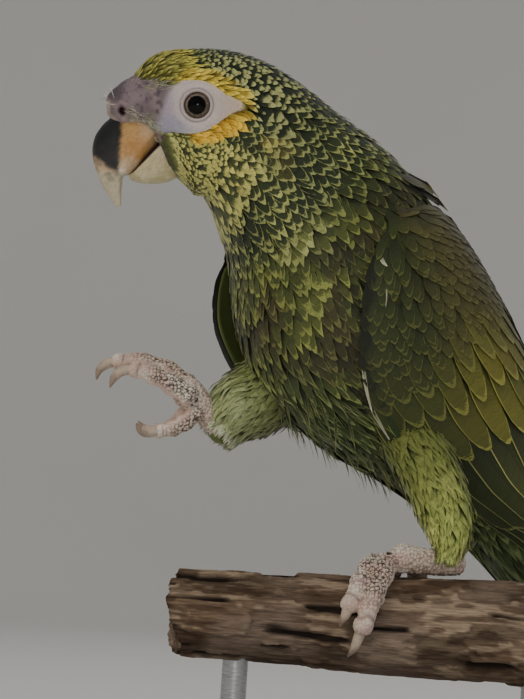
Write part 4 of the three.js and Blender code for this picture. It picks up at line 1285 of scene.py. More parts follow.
# A thigh's coat: dark at the top, yellow-green patches below, and paler at the ankle.
def buildThighCoat(side, material):
    along, around, batch = thighVanes(side)
    count = len(along)
    points = batch["points"][:, 0]
    front = patches(points, 6.0, 21, 0.35, 0.7)
    left = side == "left"
    codes = ("#46541f", "#76863a", "#a5b05c") if left else ("#3d4a2a", "#636f41", "#949d6a")
    tints = flatTints(count, codes, 0.13)
    upper = falling(along + 0.12 * (lumps(points, 5.0, 22) - 0.5), 0.22, 0.62)
    ankle = smooth(along, 0.72, 1.0)
    for i, code in enumerate(("#262c14", "#444a24", "#6f763a")):
        tints[i] = painted(tints[i], code, 0.92 * upper)
    patch = 0.6 * front * (1 - upper)
    tints[1] = layered(tints[1], ("#b3b452" if left else "#8c9a5c", patch * (1 - ankle)),
                       ("#9fae58" if left else "#c9cba6", 0.8 * ankle))
    tints[2] = layered(tints[2], ("#cfd07c" if left else "#b7c08c", patch),
                       ("#bcca7c" if left else "#e6e4cf", ankle))
    edge = np.stack([0.5 + 0.3 * rng.random(count), np.zeros(count), np.ones(count)], -1)
    bakeAt = np.stack([0.05 + 0.9 * along, 0.02 + 0.96 * (around / (2 * np.pi) % 1.0)], -1)
    makeCoat(f"thigh_{side}_feathers", [finishVanes(batch, tints, edge, bakeAt)], material)


# Skin: matt and slightly uneven, in the colours held by its points, with a fine crinkle where it is bare.
def skinMaterial():
    material, tree, shader = newMaterial("bird skin", Roughness=0.6, IOR=1.4, Specular_IOR_Level=0.35)
    fine = noiseAt(tree, objectPlace(tree), 1400, 3.0)
    tint = shaded(tree, read(tree, "tint", "Color"), fine, (0.3, 0.7), (0.9, 1.08))
    applySurface(tree, shader, tint, fine, 0.35, 0.00015)
    return material


# Normals of the points of a mesh: the sum of the faces' cross products of diagonals, made unit length.
def pointNormals(points, faces):
    normals = np.zeros(points.shape)
    whole = faces[:, 3] >= 0
    for rows, size in ((faces[whole], 4), (faces[~whole], 3)):
        corners = points[rows[:, :size]]
        cross = np.cross(corners[:, 2] - corners[:, 0], corners[:, -1] - corners[:, 1])
        for k in range(size):
            np.add.at(normals, rows[:, k], cross)
    return unit(normals)


bodySkin = {
    "around": 144,
    "step": 0.085,  # stations
    "to": 12.9,
    "sink": 3.0,  # mm, how much lower it is under the bare skin of the face
    "settle": 6.5,  # mm, how much lower it is at the tail's root
}


# The trunk, neck and head under the coat: the form shrunk by the coat's depth, and by more under the
# bare skin of the face and at the tail's root.
def trunkSkin():
    s = np.arange(0.0, bodySkin["to"], bodySkin["step"])[:, None]
    angle = np.linspace(-np.pi, np.pi, bodySkin["around"], endpoint=False)[None]
    s, angle = np.broadcast_arrays(s, angle)
    surface = formPoint(s, angle, 0)
    ahead, above, _ = headPlace(surface)
    inBare = falling(bareDistance(ahead, above), 0.4, 2.2)
    sunk = np.maximum(inBare, smooth(ahead, 6, 8) * smooth(above, -12, -10))
    sunk = sunk * (s < 4) * falling(above, 5, 7)
    settle = bodySkin["settle"] * smooth(s, 12.0, 13.2)
    grid = formPoint(s, angle, -coatDepth(s) - bodySkin["sink"] * sunk - settle)
    root, web = plumage(s.ravel(), angle.ravel(), surface.reshape(-1, 3))[:2]
    tint = 0.65 * root + 0.35 * web
    gape = (smooth(ahead, 4.5, 7.5) * smooth(-above, 6.5, 8.5)).ravel()
    blotch = patches(surface.reshape(-1, 3), 1.0, 34, 0.5, 0.7)
    tint = layered(tint, ("#75645c", gape), ("#513d3b", gape * blotch))
    return *closedBody(grid), withPoles(tint)


lids = np.array([  # distance from the eye's axis, height above the eyeball's middle
    [3.5, 2.3], [3.98, 3.5], [4.1, 3.86], [4.3, 4.18], [4.6, 4.32], [4.9, 4.22], [5.15, 4.04], [5.45, 4.04],
    [5.9, 4.18],
])
eyeSkin = {
    "around": 160,
    "lidRows": 34,
    "skinRows": 34,
    "under": 0.12,  # mm below the feathers' outline
    "edge": 1.6,  # mm, how far the skin runs on under the feathers
    "front": 17.0,  # mm ahead, where it ends on the cere
    "edgeSink": (1.6, 0.5),  # mm, how far it goes in, under the feathers and on the cere
    "degree": 5,
    "scale": 15.0,  # mm, to which places are scaled for the fitted surface
}


# Directions of an eye: ahead, up and out of the head, and the eyeball's middle.
def eyeAxes(side):
    turn = np.radians(eye["forwardTurn"])
    outward = side * headLeft * np.cos(turn) + headForward * np.sin(turn)
    ahead = unit(headForward - outward * (headForward @ outward))
    above = unit(headUp - outward * (headUp @ outward))
    return ahead, above, outward, headPoint(*eye["at"], 0.0) + outward * eye["lateral"]


# Point at x ahead of, y above and z out from an eyeball's middle.
def fromEye(side, x, y, z):
    ahead, above, outward, middle = eyeAxes(side)
    return middle + ahead * x[..., None] + above * y[..., None] + outward * z[..., None]


# The products x^i y^j of a polynomial's terms, up to its degree.
def powers(x, y):
    x, y = x / eyeSkin["scale"], y / eyeSkin["scale"]
    degree = eyeSkin["degree"]
    return np.stack([x**i * y**j for i in range(degree + 1) for j in range(degree + 1 - i)], -1)


# A smooth surface over the side of the face: its height out of the head at x ahead of and y above the
# eye's middle, a polynomial fitted to the form and, in front, to the cere.
def faceSurface(side):
    ahead, above, outward, middle = eyeAxes(side)
    s, angle = np.meshgrid(np.linspace(0.1, 4.2, 60), np.linspace(-np.pi, np.pi, 120))
    onForm = formPoint(s, angle, 0).reshape(-1, 3)
    t, angle = np.meshgrid(np.linspace(0, 3.6, 60), np.linspace(0, 2 * np.pi, 120))
    onCere = profilePoint(cere, t, angle, 0.1).reshape(-1, 3)
    points = np.concatenate([onForm[headPlace(onForm)[0] < 10.5], onCere[headPlace(onCere)[0] > 12.5]])
    away = points - middle
    x, y, z = away @ ahead, away @ above, away @ outward
    near = (z > -7) & (np.hypot((x - 2) / 21, (y + 1) / 14) < 1) & ((x < 11) | (np.abs(y + 1.5) < 7))
    fitted = np.linalg.lstsq(powers(x[near], y[near]), z[near], rcond=None)[0]
    return lambda x, y: powers(x, y) @ fitted


# Colours of the bare face: white round the eye, lilac and mottled towards the bill.
def faceTint(points):
    ahead, above, _ = headPlace(points)
    lores = smooth(ahead + 0.3 * above, 8.5, 11.5)
    return layered(
        evenTint(points, "#bcb0aa"),
        ("#9d93a0", 0.8 * smooth(ahead - 0.35 * above, 5.0, 10.0)),
        ("#9394a8", 0.6 * smooth(-above, 3.5, 6.5) * smooth(ahead, -1, 4)),
        ("#bda48f", 0.6 * smooth(-ahead, 5, 10)),
        ("#6e6062", 0.95 * lores),
        ("#8b7b7a", 0.7 * lores * patches(points, 2.6, 36, 0.45, 0.75)),
        ("#453a46", 0.8 * lores * patches(points, 1.25, 35, 0.5, 0.76)),
        ("#8f8b76", 0.55 * lores * smooth(-above, 3, 6)),
    )


# Bare skin of one side of the face, on a polar grid round the eye: the lids' profile, then the face's
# surface out to the edge of the feathers, where it goes in under them, and on to the cere.
def eyePatch(side):
    outward, surface = eyeAxes(side)[2], faceSurface(side)
    around = circle(eyeSkin["around"])
    probe = np.linspace(5.0, 24.0, 96)[:, None]
    px, py = probe * np.cos(around), probe * np.sin(around)
    probedAhead, probedAbove, _ = headPlace(fromEye(side, px, py, surface(px, py)))
    over = (bareDistance(probedAhead, probedAbove) > eyeSkin["edge"]) | (probedAhead > eyeSkin["front"])
    reach = probe[np.argmax(over, axis=0), 0][None]
    profile = throughRows(lids, np.linspace(0, len(lids) - 1, eyeSkin["lidRows"]))
    share = np.linspace(0, 1, eyeSkin["skinRows"] + 1)[1:, None]
    inner = profile[:, :1] + 0 * around
    outer = lids[-1, 0] + (reach - lids[-1, 0]) * share
    rho = np.concatenate([inner, outer])
    x, y = rho * np.cos(around), rho * np.sin(around)
    lidHeight = np.concatenate([profile[:, 1:] + 0 * inner, np.full(outer.shape, lids[-1, 1])])
    height = lidHeight + (surface(x, y) - eyeSkin["under"] - lidHeight) * smooth(rho, 4.8, 7.2)
    rim = np.concatenate([np.zeros(inner.shape), np.broadcast_to(share, outer.shape)])
    deep, shallow = eyeSkin["edgeSink"]
    height = height - (deep + (shallow - deep) * smooth(x, 9, 13)) * smooth(rim, 0.86, 1.0)
    points = fromEye(side, x, y, height)
    crease = lumps(points, 0.7, 31) - 0.5
    bent = rho - 0.9 * lumps(points, 3.0, 32) - 0.5 * lumps(points, 1.2, 33)
    folds = np.sin(2 * np.pi * bent / 1.1) * window(rho, 4.9, 5.6, 6.0, 9.5)
    pits = smooth(x, 8, 12) * (lumps(points, 1.0, 37) - 0.5)
    height = height + (0.09 * crease + 0.03 * folds + 0.36 * pits) * smooth(rho, 4.0, 4.6)
    points = fromEye(side, x, y, height)

    tint = layered(
        faceTint(points),
        ("#c7b8b2", 0.5 * falling(rho, 6.0, 7.6)),
        # painted shade: a grey ring in the groove just outside the raised lids
        ("#857a7c", 0.7 * window(rho, 4.75, 4.95, 5.2, 5.7)),
        ("#b9a9a4", 0.9 * window(rho, 4.05, 4.2, 4.6, 4.8)),
        # painted shade: a dark line on the lids' inner edge, where they meet the eyeball
        ("#453b39", falling(rho, 3.98, 4.16)),
        ("#dccb84", 0.5 * smooth(rim, 0.7, 0.95) * falling(x, 2, 8)),
    )
    poles = [points[row].mean(0)[None] - outward * behind for row, behind in ((0, 1.0), (-1, 4.0))]
    allPoints = np.concatenate([points.reshape(-1, 3), *poles])
    faces = ringFaces(*rho.shape)
    normals = pointNormals(allPoints, faces)
    if np.sum(normals[:rho.size] @ outward) < 0:
        faces = turned(faces)
    return allPoints, faces, withPoles(tint)


# An eyeball, on a polar grid round its axis: a sphere with the cornea's low dome on it.
def buildEye(side, name, node, material):
    outward, middle = eyeAxes(side)[2:]
    polar = np.radians(np.concatenate([np.linspace(0.6, 60, 46), np.linspace(66, 179, 16)]))[:, None]
    around = circle(72)
    dome = eye["dome"] * falling(polar, 0.0, np.radians(eye["domeEdge"]))
    radius = eye["radius"] - eye["inset"] + dome + 0 * around
    across, up = radius * np.sin(polar) * np.cos(around), radius * np.sin(polar) * np.sin(around)
    points, faces = closedBody(fromEye(side, across, up, radius * np.cos(polar)))
    away = points - middle
    off = np.linalg.norm(away - (away @ outward)[:, None] * outward, axis=1)
    ring = np.where(away @ outward > 0, off, eye["behind"])
    piece = makePiece(name, points, faces, material, {"ring": ring})
    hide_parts(node)


# Eye: wet and clear over a black pupil and a grey-brown iris with fine spokes.
def eyeMaterial():
    material, tree, shader = newMaterial("living eye", Roughness=0.05, IOR=1.38, Specular_IOR_Level=0.25)
    ring = read(tree, "ring", "Fac")
    spokes = noiseAt(tree, objectPlace(tree), 2600, 2.0)
    iris = blendColours(tree, ramp(tree, spokes, 0.35, 0.7), colour("#54493f"), colour("#7d7064"))
    outer = blendColours(tree, ramp(tree, ring, 3.7, 4.1), iris, colour("#2b2522"))
    pupilEdge = ramp(tree, ring, eye["pupil"] - 0.08, eye["pupil"] + 0.08)
    tree.links.new(blendColours(tree, pupilEdge, colour("#030303"), outer), shader.inputs["Base Color"])
    return material


# Sections of the cere and the bill: top ahead and above, bottom ahead and above, and half width.
cere = {
    "sections": np.array([
        [12.0, 10.0, 9.0, -10.5, 10.6], [18.5, 8.6, 14.5, -9.6, 9.8], [22.6, 6.2, 19.5, -9.0, 8.6],
        [25.6, 3.6, 23.2, -8.4, 7.2], [27.4, 1.6, 26.0, -6.8, 5.4], [28.4, -0.4, 27.8, -4.6, 3.0],
    ]),
    "roundness": 2.2,
    "widest": 0.5,  # share of the height where it is widest
    "rows": 110,
    "around": 200,
    "nostril": (22.9, -4.4),  # ahead and above
    "hole": (1.15, 1.7),  # mm, half its length and half its height
    "depth": 1.7,
}
upperBill = {
    "sections": np.array([
        [23.5, -3.0, 8.6, -8.8, 7.4], [28.0, -7.6, 11.2, -13.1, 7.2], [30.5, -11.3, 14.0, -16.7, 6.7],
        [31.4, -15.5, 16.6, -20.7, 6.0], [30.9, -19.6, 18.8, -23.2, 5.0], [29.6, -23.2, 21.0, -24.2, 3.8],
        [27.5, -27.2, 21.2, -27.8, 2.7], [25.0, -30.9, 21.1, -31.0, 1.7], [22.5, -33.8, 20.9, -33.4, 0.8],
    ]),
    "roundness": 2.0,
    "widest": 0.18,
    "rows": 120,
    "shrink": 0.0,
}
lowerBill = {
    "sections": np.array([
        [9.0, -11.3, 2.2, -22.2, 7.3], [12.1, -14.9, 7.4, -24.8, 7.0], [15.0, -18.5, 12.4, -25.8, 6.2],
        [17.4, -21.5, 16.6, -25.6, 4.7], [19.2, -23.2, 19.2, -24.7, 2.8],
    ]),
    "roundness": 2.3,
    "widest": 0.88,
    "rows": 70,
    "shrink": 0.15,  # mm, how much thinner it is than its sections
}


# Point of a section of cere or bill: it stands between a top and a bottom point of the head's profile,
# is widest at a share of its height, and its half width and height follow the squared cosine and sine.
def profilePoint(part, t, angle, grow):
    widest = part["widest"]
    t, angle, grow = np.broadcast_arrays(np.asarray(t, float), angle, grow)
    row = throughRows(part["sections"], t)
    top, bottom = headPoint(row[..., 0], row[..., 1], 0 * t), headPoint(row[..., 2], row[..., 3], 0 * t)
    height = np.linalg.norm(top - bottom, axis=-1)
    axis = (top - bottom) / height[..., None]
    c, d = squared(angle, part["roundness"])
    reach = np.where(d > 0, height * (1 - widest), height * widest) + grow
    middle = bottom + axis * (height * widest)[..., None]
    return middle + headLeft * ((row[..., 4] + grow) * c)[..., None] + axis * (reach * d)[..., None]


# The cere: bare swollen skin over the bill's root, with a nostril sunk in a soft rim on each side. The
# nostril is an oval in the head's profile: 1 on its edge, taller than it is long.
def buildCere(material):
    t = np.linspace(0, 5, cere["rows"])[:, None]
    angle = circle(cere["around"])
    surface = profilePoint(cere, t, angle, 0.0)
    ahead, above, lateral = headPlace(surface)
    (holeAhead, holeAbove), (holeLong, holeTall) = cere["nostril"], cere["hole"]
    up = above - holeAbove
    hole = np.hypot((ahead - holeAhead - 0.25 * up) / holeLong, up / holeTall)
    hole = np.where(np.abs(lateral) > 3.5, hole, 9)
    inside = falling(hole, 0.35, 1.15)
    rim = np.exp(-((hole - 1.55) / 0.4) ** 2)
    wrinkle = lumps(surface, 0.9, 41) - 0.5
    broad = lumps(surface, 3.0, 42) - 0.5
    front = smooth(ahead, 15, 18)
    grow = -cere["depth"] * inside + 0.45 * rim + (0.2 * wrinkle + 0.3 * broad) * (0.4 + 0.6 * front)
    points, faces = closedBody(profilePoint(cere, t, angle, grow))
    tint = layered(
        faceTint(surface),
        ("#83747a", 0.5 * front),
        ("#54494e", front * smooth(wrinkle, 0.05, 0.35) * 0.6),
        ("#474043", 0.75 * smooth(ahead, 21.5, 24.5) * smooth(above, -3.5, 0.5)),
        ("#b7a49a", 0.8 * smooth(-squared(angle, cere["roundness"])[1] + 0 * t, 0.55, 0.8) * front),
        ("#b3a399", 0.8 * smooth(ahead, 26.2, 27.6) * falling(above, -2, 0)),
        ("#8f7a7c", 0.7 * rim),
        # painted shade: the inside of the nostril, darkened to a deep maroon
        ("#2c161c", smooth(inside, 0.1, 0.75)),
    )
    piece = makePiece("cere_skin", points, faces, material, {"tint": withPoles(tint)})
    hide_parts("cere")


# Horn of the bill: smooth keratin in long thin layers that flake, satin with dull scuffs.
def hornMaterial(name, roughness):
    material, tree, shader = newMaterial(name, Roughness=roughness, IOR=1.55, Specular_IOR_Level=0.5,
                                         Coat_Weight=0.15, Coat_Roughness=0.3)
    plus, times = arithmetic(tree, "ADD", "MULTIPLY")
    along, across, _ = readParts(tree, "growth")
    place = put(tree, "ShaderNodeCombineXYZ", None, X=times(along, 0.35), Y=across).outputs[0]
    flake = noiseAt(tree, objectPlace(tree), 500, 3.0)
    height = plus(noiseAt(tree, place, 2.2, 4.0), times(flake, 0.6))
    tint = shaded(tree, read(tree, "tint", "Color"), height, (0.55, 1.05), (0.74, 1.16))
    applySurface(tree, shader, tint, height, 0.4, 0.0002)
    return material


# A part of the bill from its sections, with colours worked out from its own parameters.
def billPiece(name, part, material, node, paint):
    last = len(part["sections"]) - 1
    t, angle = np.broadcast_arrays(np.linspace(0, last, part["rows"])[:, None], circle(96))
    smoothed = profilePoint(part, t, angle, 0.0)
    flaws = 0.16 * (lumps(smoothed, 2.2, 51) - 0.5) + 0.06 * (lumps(smoothed, 0.7, 52) - 0.5)
    points, faces = closedBody(profilePoint(part, t, angle, flaws - part["shrink"]))
    tint = paint(t / last, squared(angle, part["roundness"])[1], smoothed)
    growth = np.stack([t * 4.0, angle * 6.0, 0 * t], -1)
    piece = makePiece(name, points, faces, material,
                      {"tint": withPoles(tint), "growth": withPoles(growth)})
    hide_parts(node)


# Upper bill: slate in front, amber on the sides of the root, pinkish at the notch and cream at the tip.
# The slate ends along a slanted line, higher at the ridge than behind.
def upperBillPaint(along, height, points):
    ahead, above, _ = headPlace(points)
    uneven = 1.6 * (lumps(points, 2.2, 53) - 0.5) + 0.7 * (lumps(points, 0.8, 57) - 0.5)
    low = -above - 24.4 + 0.65 * np.maximum(ahead - 22, 0) + uneven
    dark = smooth(ahead + 0.5 * uneven, 22.0, 23.4) * falling(low, -1.4, 1.4)
    smudge = smooth(ahead, 22.5, 25.5) * falling(low, 1.0, 6.5) * (1 - dark)
    return layered(
        evenTint(points, "#b98f56"),
        ("#b5803a", 0.95 * np.exp(-((ahead - 18.5) / 3.4) ** 2 - ((above + 14.5) / 3.6) ** 2)),
        ("#a18a7c", 0.7 * falling(ahead, 10.5, 15.0)),
        ("#c9ae8c", 0.85 * smooth(-above + uneven, 17.6, 20.5)),
        ("#c2b798", smooth(-above, 22.0, 24.5)),
        ("#101112", dark),
        ("#222426", 0.6 * dark * patches(points, 1.8, 55, 0.45, 0.8)),
        ("#5b584f", 0.6 * smudge * patches(points, 1.5, 58, 0.35, 0.65)),
        ("#f0e6d2", 0.8 * np.exp(-((ahead - 21.6) / 0.9) ** 2 - ((above + 22.6) / 1.2) ** 2)),
    )


# Lower bill: cream horn, paler at its cutting edge, greyer where it comes out of the feathers, and with
# painted shade, dark brown, along its top where it meets the upper bill.
def lowerBillPaint(along, height, points):
    return layered(
        evenTint(points, "#c6b98b"),
        ("#d6caa0", patches(points, 2.6, 56, 0.45, 0.8)),
        ("#b0a17c", 0.6 * falling(along, 0.0, 0.25)),
        ("#e6dabd", 0.6 * smooth(height, 0.1, 0.5)),
        # painted shade: dark brown along the top, where the lower bill meets the upper bill
        ("#57402f", 0.85 * smooth(height, 0.72, 0.98)),
    )


foot = {
    "voxel": 0.4,  # mm
    "scale": 1.15,  # mm across a granular scale
    "raise": 0.34,
    "pad": 0.45,
    "closing": np.array([-76.0, 6.0, 150.0]),  # the point that the pads of the raised foot face
    "swells": 3.0,  # thick places along a toe, how thick, and how much thinner it is all along
    "swell": 0.28,
    "slimmer": 0.1,
}


# A mesh of one skin from overlapping bodies: voxels, then a few rounds of smoothing.
def fused(bodies, voxel):
    points, faces = joined(bodies)
    mesh = bpy.data.meshes.new("fused")
    lists = [[int(k) for k in row if k >= 0] for row in faces]
    mesh.from_pydata(points * mm, [], lists)
    source = addObject("fused", mesh)
    remesh = source.modifiers.new("voxels", "REMESH")
    remesh.mode = "VOXEL"
    remesh.voxel_size = voxel * mm
    soften = source.modifiers.new("soften", "SMOOTH")
    soften.factor = 0.5
    soften.iterations = 5
    made = source.evaluated_get(bpy.context.evaluated_depsgraph_get()).to_mesh()
    madePoints = np.empty(len(made.vertices) * 3, np.float32)
    made.vertices.foreach_get("co", madePoints)
    corners = np.empty(len(made.loops), np.int32)
    made.loops.foreach_get("vertex_index", corners)
    sizes = np.empty(len(made.polygons), np.int32)
    made.polygons.foreach_get("loop_total", sizes)
    starts = np.cumsum(sizes) - sizes
    quads = np.stack([corners[np.minimum(starts + k, len(corners) - 1)] for k in range(4)], -1)
    quads[sizes == 3, 3] = -1
    source.to_mesh_clear()
    bpy.data.objects.remove(source)
    bpy.data.meshes.remove(mesh)
    return madePoints.reshape(-1, 3).astype(float) / mm, quads


# How much thicker a toe is along its path: a cosine with its tops at the pads between the joints.
def toeSwell(last):
    return lambda t, around: foot["swell"] * np.cos(
        2 * np.pi * foot["swells"] * t / last + 0.6) * np.ones(around.shape) - foot["slimmer"]


# Paths of a foot's toes, by their numbers.
def toePaths(side):
    if side == "left":
        return {number: grippingPath(toe) for number, toe in grippingToes.items()}
    return {number: toe["path"] for number, toe in raisedToes.items()}


# Skin of a shank and its toes, covered in small raised scales with dark skin between them, and with
# smooth cream pads under the toes. Each point takes the nearest limb's direction at that place.
def footSkin(side):
    limbs = [tarsi[side], *toePaths(side).values()]
    swells = [toeSwell(len(path) - 1) if number else None for number, path in enumerate(limbs)]
    bodies = [limbBody(path, 8 * len(path), 28, swell) for path, swell in zip(limbs, swells)]
    points, faces = fused(bodies, foot["voxel"])
    normals = pointNormals(points, faces)
    best = np.full(len(points), 1e9)
    under = np.zeros(len(points))
    alongTip = np.zeros(len(points))
    for number, path in enumerate(limbs):
        samples = throughRows(path, np.linspace(0, len(path) - 1, 60))
        tangents = unit(np.gradient(samples[:, :3], axis=0))
        away = points[:, None] - samples[None, :, :3]
        distance = np.linalg.norm(away, axis=-1) - samples[None, :, 3]
        index = distance.argmin(1)
        closest = distance[np.arange(len(points)), index]
        if number == 0:
            below = np.zeros(len(points))
        elif side == "left":
            core = points * [0, 1, 1] - np.array([0, 0, perch["axisZ"]])
            below = -(normals * unit(core)).sum(-1)
        else:
            inward = unit(foot["closing"] - samples[:, :3])
            inward = unit(inward - tangents * (inward * tangents).sum(-1, keepdims=True))
            below = (normals * inward[index]).sum(-1)
        nearer = closest < best
        best = np.where(nearer, closest, best)
        under = np.where(nearer, below, under)
        alongTip = np.where(nearer, index / 59.0 * (number > 0), alongTip)
    pad = smooth(under, 0.1, 0.55)
    first, second = cells(points, foot["scale"], 61)
    granule = smooth(second - first, 0.03, 0.3)
    tipward = smooth(alongTip, 0.5, 0.9)
    fold = smooth(np.cos(2 * np.pi * 5.5 * alongTip + 2.0 * lumps(points, 3.0, 65)), 0.72, 0.97) * tipward
    relief = foot["raise"] * (1 - 0.6 * tipward) * (granule - 0.6) * (1 - pad) - 0.3 * fold * (1 - pad)
    lobes = foot["pad"] * (lumps(points, 1.9, 62) - 0.5) * pad
    moved = points + normals * (relief + lobes)[:, None]
    gaps = (1 - granule) * (1 - pad) * (1 - 0.7 * tipward) * (0.45 + 0.55 * smooth(-under, -0.2, 0.5))
    return moved, faces, layered(
        evenTint(points, "#d3bfad"),
        ("#e6d9c9", patches(points, 5.0, 63, 0.35, 0.7)),
        ("#cfaca2", 0.6 * patches(points, 3.5, 64, 0.5, 0.8)),
        ("#2f241f", gaps),
        ("#97807a", 0.8 * fold * (1 - pad)),
        ("#d3b6a4", 0.8 * pad),
        ("#ab8f84", 0.6 * smooth(-lobes, 0.03, 0.15)),
    )


# Skin of a thigh under its feathers.
def thighSkin(side):
    path = thighs[side].copy()
    path[:, 3] = np.maximum(path[:, 3] - 2.4, 1.8)
    points, faces = limbBody(path, 30, 36)
    return points, faces, evenTint(points, "#5d6b38")


wingPlate = {
    "stations": (6.72, 11.6),
    "rows": 60,
    "k": (0.03, 0.97),
    "half": 24,  # columns on each face
    "heights": (0.32, 0.08),  # shares of the wing's thickness, outer and inner
}


# A wing's flesh and quill bases, a plate between the coverts and the body: the wing surface at a low
# share of its thickness for the inner face and a higher one for the outer.
def wingSkin(side):
    (low, high), half = wingPlate["k"], wingPlate["half"]
    s = np.linspace(*wingPlate["stations"], wingPlate["rows"])[:, None]
    k = np.concatenate([np.linspace(low, high, half), np.linspace(high, low, half)])[None]
    grid = wingPoint(side, s, k, np.repeat(wingPlate["heights"], half)[None])
    index = np.arange(grid[..., 0].size).reshape(grid.shape[:2])

    def ladder(row):
        front, back = row[:half], row[half:][::-1]
        return np.stack([front[:-1], front[1:], back[1:], back[:-1]], -1)

    faces = np.concatenate([gridQuads(index, closed=True), ladder(index[0])[:, ::-1], ladder(index[-1])])
    points = grid.reshape(-1, 3)
    normals = pointNormals(points, faces)
    outer = index[5:-5, 5:half - 5].ravel()
    centre = formFrame(np.full(len(outer), 9.0))[0]
    if np.sum(normals[outer] * (points[outer] - centre)) < 0:
        faces = turned(faces)
    return points, faces, evenTint(points, "#667240")


tongue = np.array([[4.0, -13.0, 3.4], [9.0, -14.6, 3.6], [13.0, -17.6, 3.2], [15.6, -20.2, 2.0]])


# The tongue between the halves of the bill, its dark colour the painted shade inside the mouth: each
# row is ahead, above and radius.
def tongueSkin():
    path = np.column_stack([headPoint(tongue[:, 0], tongue[:, 1], 0 * tongue[:, 0]), tongue[:, 2]])
    points, faces = limbBody(path, 16, 20)
    return points, faces, evenTint(points, "#3b2b2b")


# All skin but the cere's, in one piece.
def buildSkin():
    parts = [trunkSkin(), eyePatch(1), eyePatch(-1), tongueSkin()]
    for side in ("left", "right"):
        parts += [thighSkin(side), wingSkin(side), footSkin(side)]
    points, faces = joined([part[:2] for part in parts])
    tint = np.concatenate([part[2] for part in parts])
    piece = makePiece("skin", points, faces, skinMaterial(), {"tint": tint})
    limbNodes = [f"{part}_{side}" for side in ("left", "right") for part in ("thigh", "tarsus")]
    toeNodes = [f"toe_{side}_{number}" for side in ("left", "right") for number in (1, 2, 3, 4)]
    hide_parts("head", "neck", "trunk", "rump", *limbNodes, *toeNodes)
    print("skin triangles", int((2 * (faces[:, 3] >= 0) + (faces[:, 3] < 0)).sum()))


# Claws: curved horn spikes on the toes' ends, grey-brown and darker towards the tip.
def buildClaws(material):
    for side in ("left", "right"):
        toes = grippingToes if side == "left" else raisedToes
        for number, toe in toes.items():
            places = grippingClaw(toe) if side == "left" else np.array(toe["claw"])
            start = toePaths(side)[number][-1, :3]
            path = np.concatenate([[start], places])
            points, faces = limbBody(np.column_stack([path, [claws["root"], *claws["radii"]]]), 36, 20)
            reach = np.linalg.norm(points - path[0], axis=1) / np.linalg.norm(path[-1] - path[0])
            tipward = smooth(reach + 0.3 * (lumps(points, 0.8, 71) - 0.5), 0.45, 0.95)
            tint = painted(evenTint(points, "#b7a591"), "#8b7969", tipward)
            growth = np.stack([reach * 12, lumps(points, 0.5, 72) * 4, 0 * reach], -1)
            piece = makePiece(f"claw_{side}_{number}_horn", points, faces, material,
                              {"tint": tint, "growth": growth})
            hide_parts(f"claw_{side}_{number}")


log = {"rows": 260, "around": 168, "groove": 1.3, "ends": [0.97, 0.9, 0.78, 0.6, 0.4, 0.2]}


# The branch: rings along X, lowered by the fibres' lumps, by ledges and by long wandering cracks, and
# raised by one knot. Its left end is broken, and its right end is sawn.
def buildPerch(material):
    share = np.linspace(0, 1, log["rows"])[:, None]
    angle = circle(log["around"])
    x = between(perch["x"], share) + 0 * angle
    radius = perchRadius(x)
    around = np.stack([np.sin(angle) * 15, np.cos(angle) * 15], -1) + 0 * x[..., None]
    wander = 3.0 * (lumps(np.stack([x, 0 * x, 0 * x], -1), 26.0, 81) - 0.5)
    fibres = lambda stretch, size, seed: lumps(np.concatenate(
        [(x / stretch)[..., None], around + wander[..., None]], -1), size, seed)
    coarse, middle, fine = fibres(4.0, 4.2, 82), fibres(4.5, 1.7, 83), fibres(4.0, 0.75, 84)
    ledge = smooth(fibres(3.6, 4.6, 94) + 0.3 * (fibres(2.5, 1.2, 95) - 0.5), 0.48, 0.56)
    crack = smooth(fibres(7.0, 2.4, 85), 0.64, 0.74)
    crack = crack * patches(np.stack([x, 0 * x, 0 * x + angle * 3], -1), 15.0, 86, 0.4, 0.55)
    knot = np.exp(-(((x - 33) / 5.5) ** 2 + ((angle - 4.9) * 15 / 4.5) ** 2))
    relief = 0.35 - 0.7 * coarse - 0.5 * middle - 0.3 * fine - 0.7 * (1 - ledge) - log["groove"] * crack
    reach = radius + knot + np.minimum(relief, 0.25)
    broken = perch["ragged"] * np.sin(2 * angle + perch["raggedTurn"]) + 2.2 * (fibres(4.0, 2.2, 87) - 0.5)
    x = x + broken * falling(share, 0.0, 0.09) + 0.5 * (fine - 0.5) * smooth(share, 0.96, 1.0)
    body = np.stack([x, reach * np.sin(angle), perch["axisZ"] + reach * np.cos(angle)], -1)
    scales = np.array(log["ends"])[:, None, None]
    rings = [body]
    grain = [np.stack([coarse, middle, fine, crack, ledge], -1)]
    for first, row in ((True, 0), (False, -1)):
        middlePoint = body[row].mean(0)
        cap = middlePoint + (body[row] - middlePoint) * scales
        bumpy = (lumps(cap, 1.6, 88) - 0.5) * (2.4 if first else 0.5)
        cap[..., 0] += bumpy * (-1 if first else 1)
        # on the ends, the cracks' painted shade falls on patches, and a share of the ledges' painted shade on
        # all of it
        capGrain = np.stack([lumps(cap, 3.0, 89), lumps(cap, 1.4, 90), lumps(cap, 0.7, 91),
                             patches(cap, 2.2, 92, 0.6, 0.8), 0.5 + 0 * cap[..., 0]], -1)
        rings = [cap[::-1], *rings] if first else [*rings, cap]
        grain = [capGrain[::-1], *grain] if first else [*grain, capGrain]
    grid, grain = np.concatenate(rings), np.concatenate(grain)
    points, faces = closedBody(grid)
    coarse, middle, fine, crack, ledge = (grain[..., k] for k in range(5))
    tint = layered(
        evenTint(grid, "#6d5a48"),
        ("#a08d76", smooth(coarse + 0.5 * (fine - 0.5), 0.45, 0.6) * 0.8),
        ("#463528", smooth(middle, 0.5, 0.64) * 0.75),
        # painted shade under the ledges, where the surface steps down
        ("#382a1f", (1 - ledge) * 0.6),
        ("#857466", patches(grid, 16.0, 93, 0.45, 0.75) * 0.6),
        # painted shade in the cracks, nearly black
        ("#1e1610", crack),
    )
    piece = makePiece("branch", points, faces, material, {"tint": withPoles(tint)})
    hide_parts("perch")


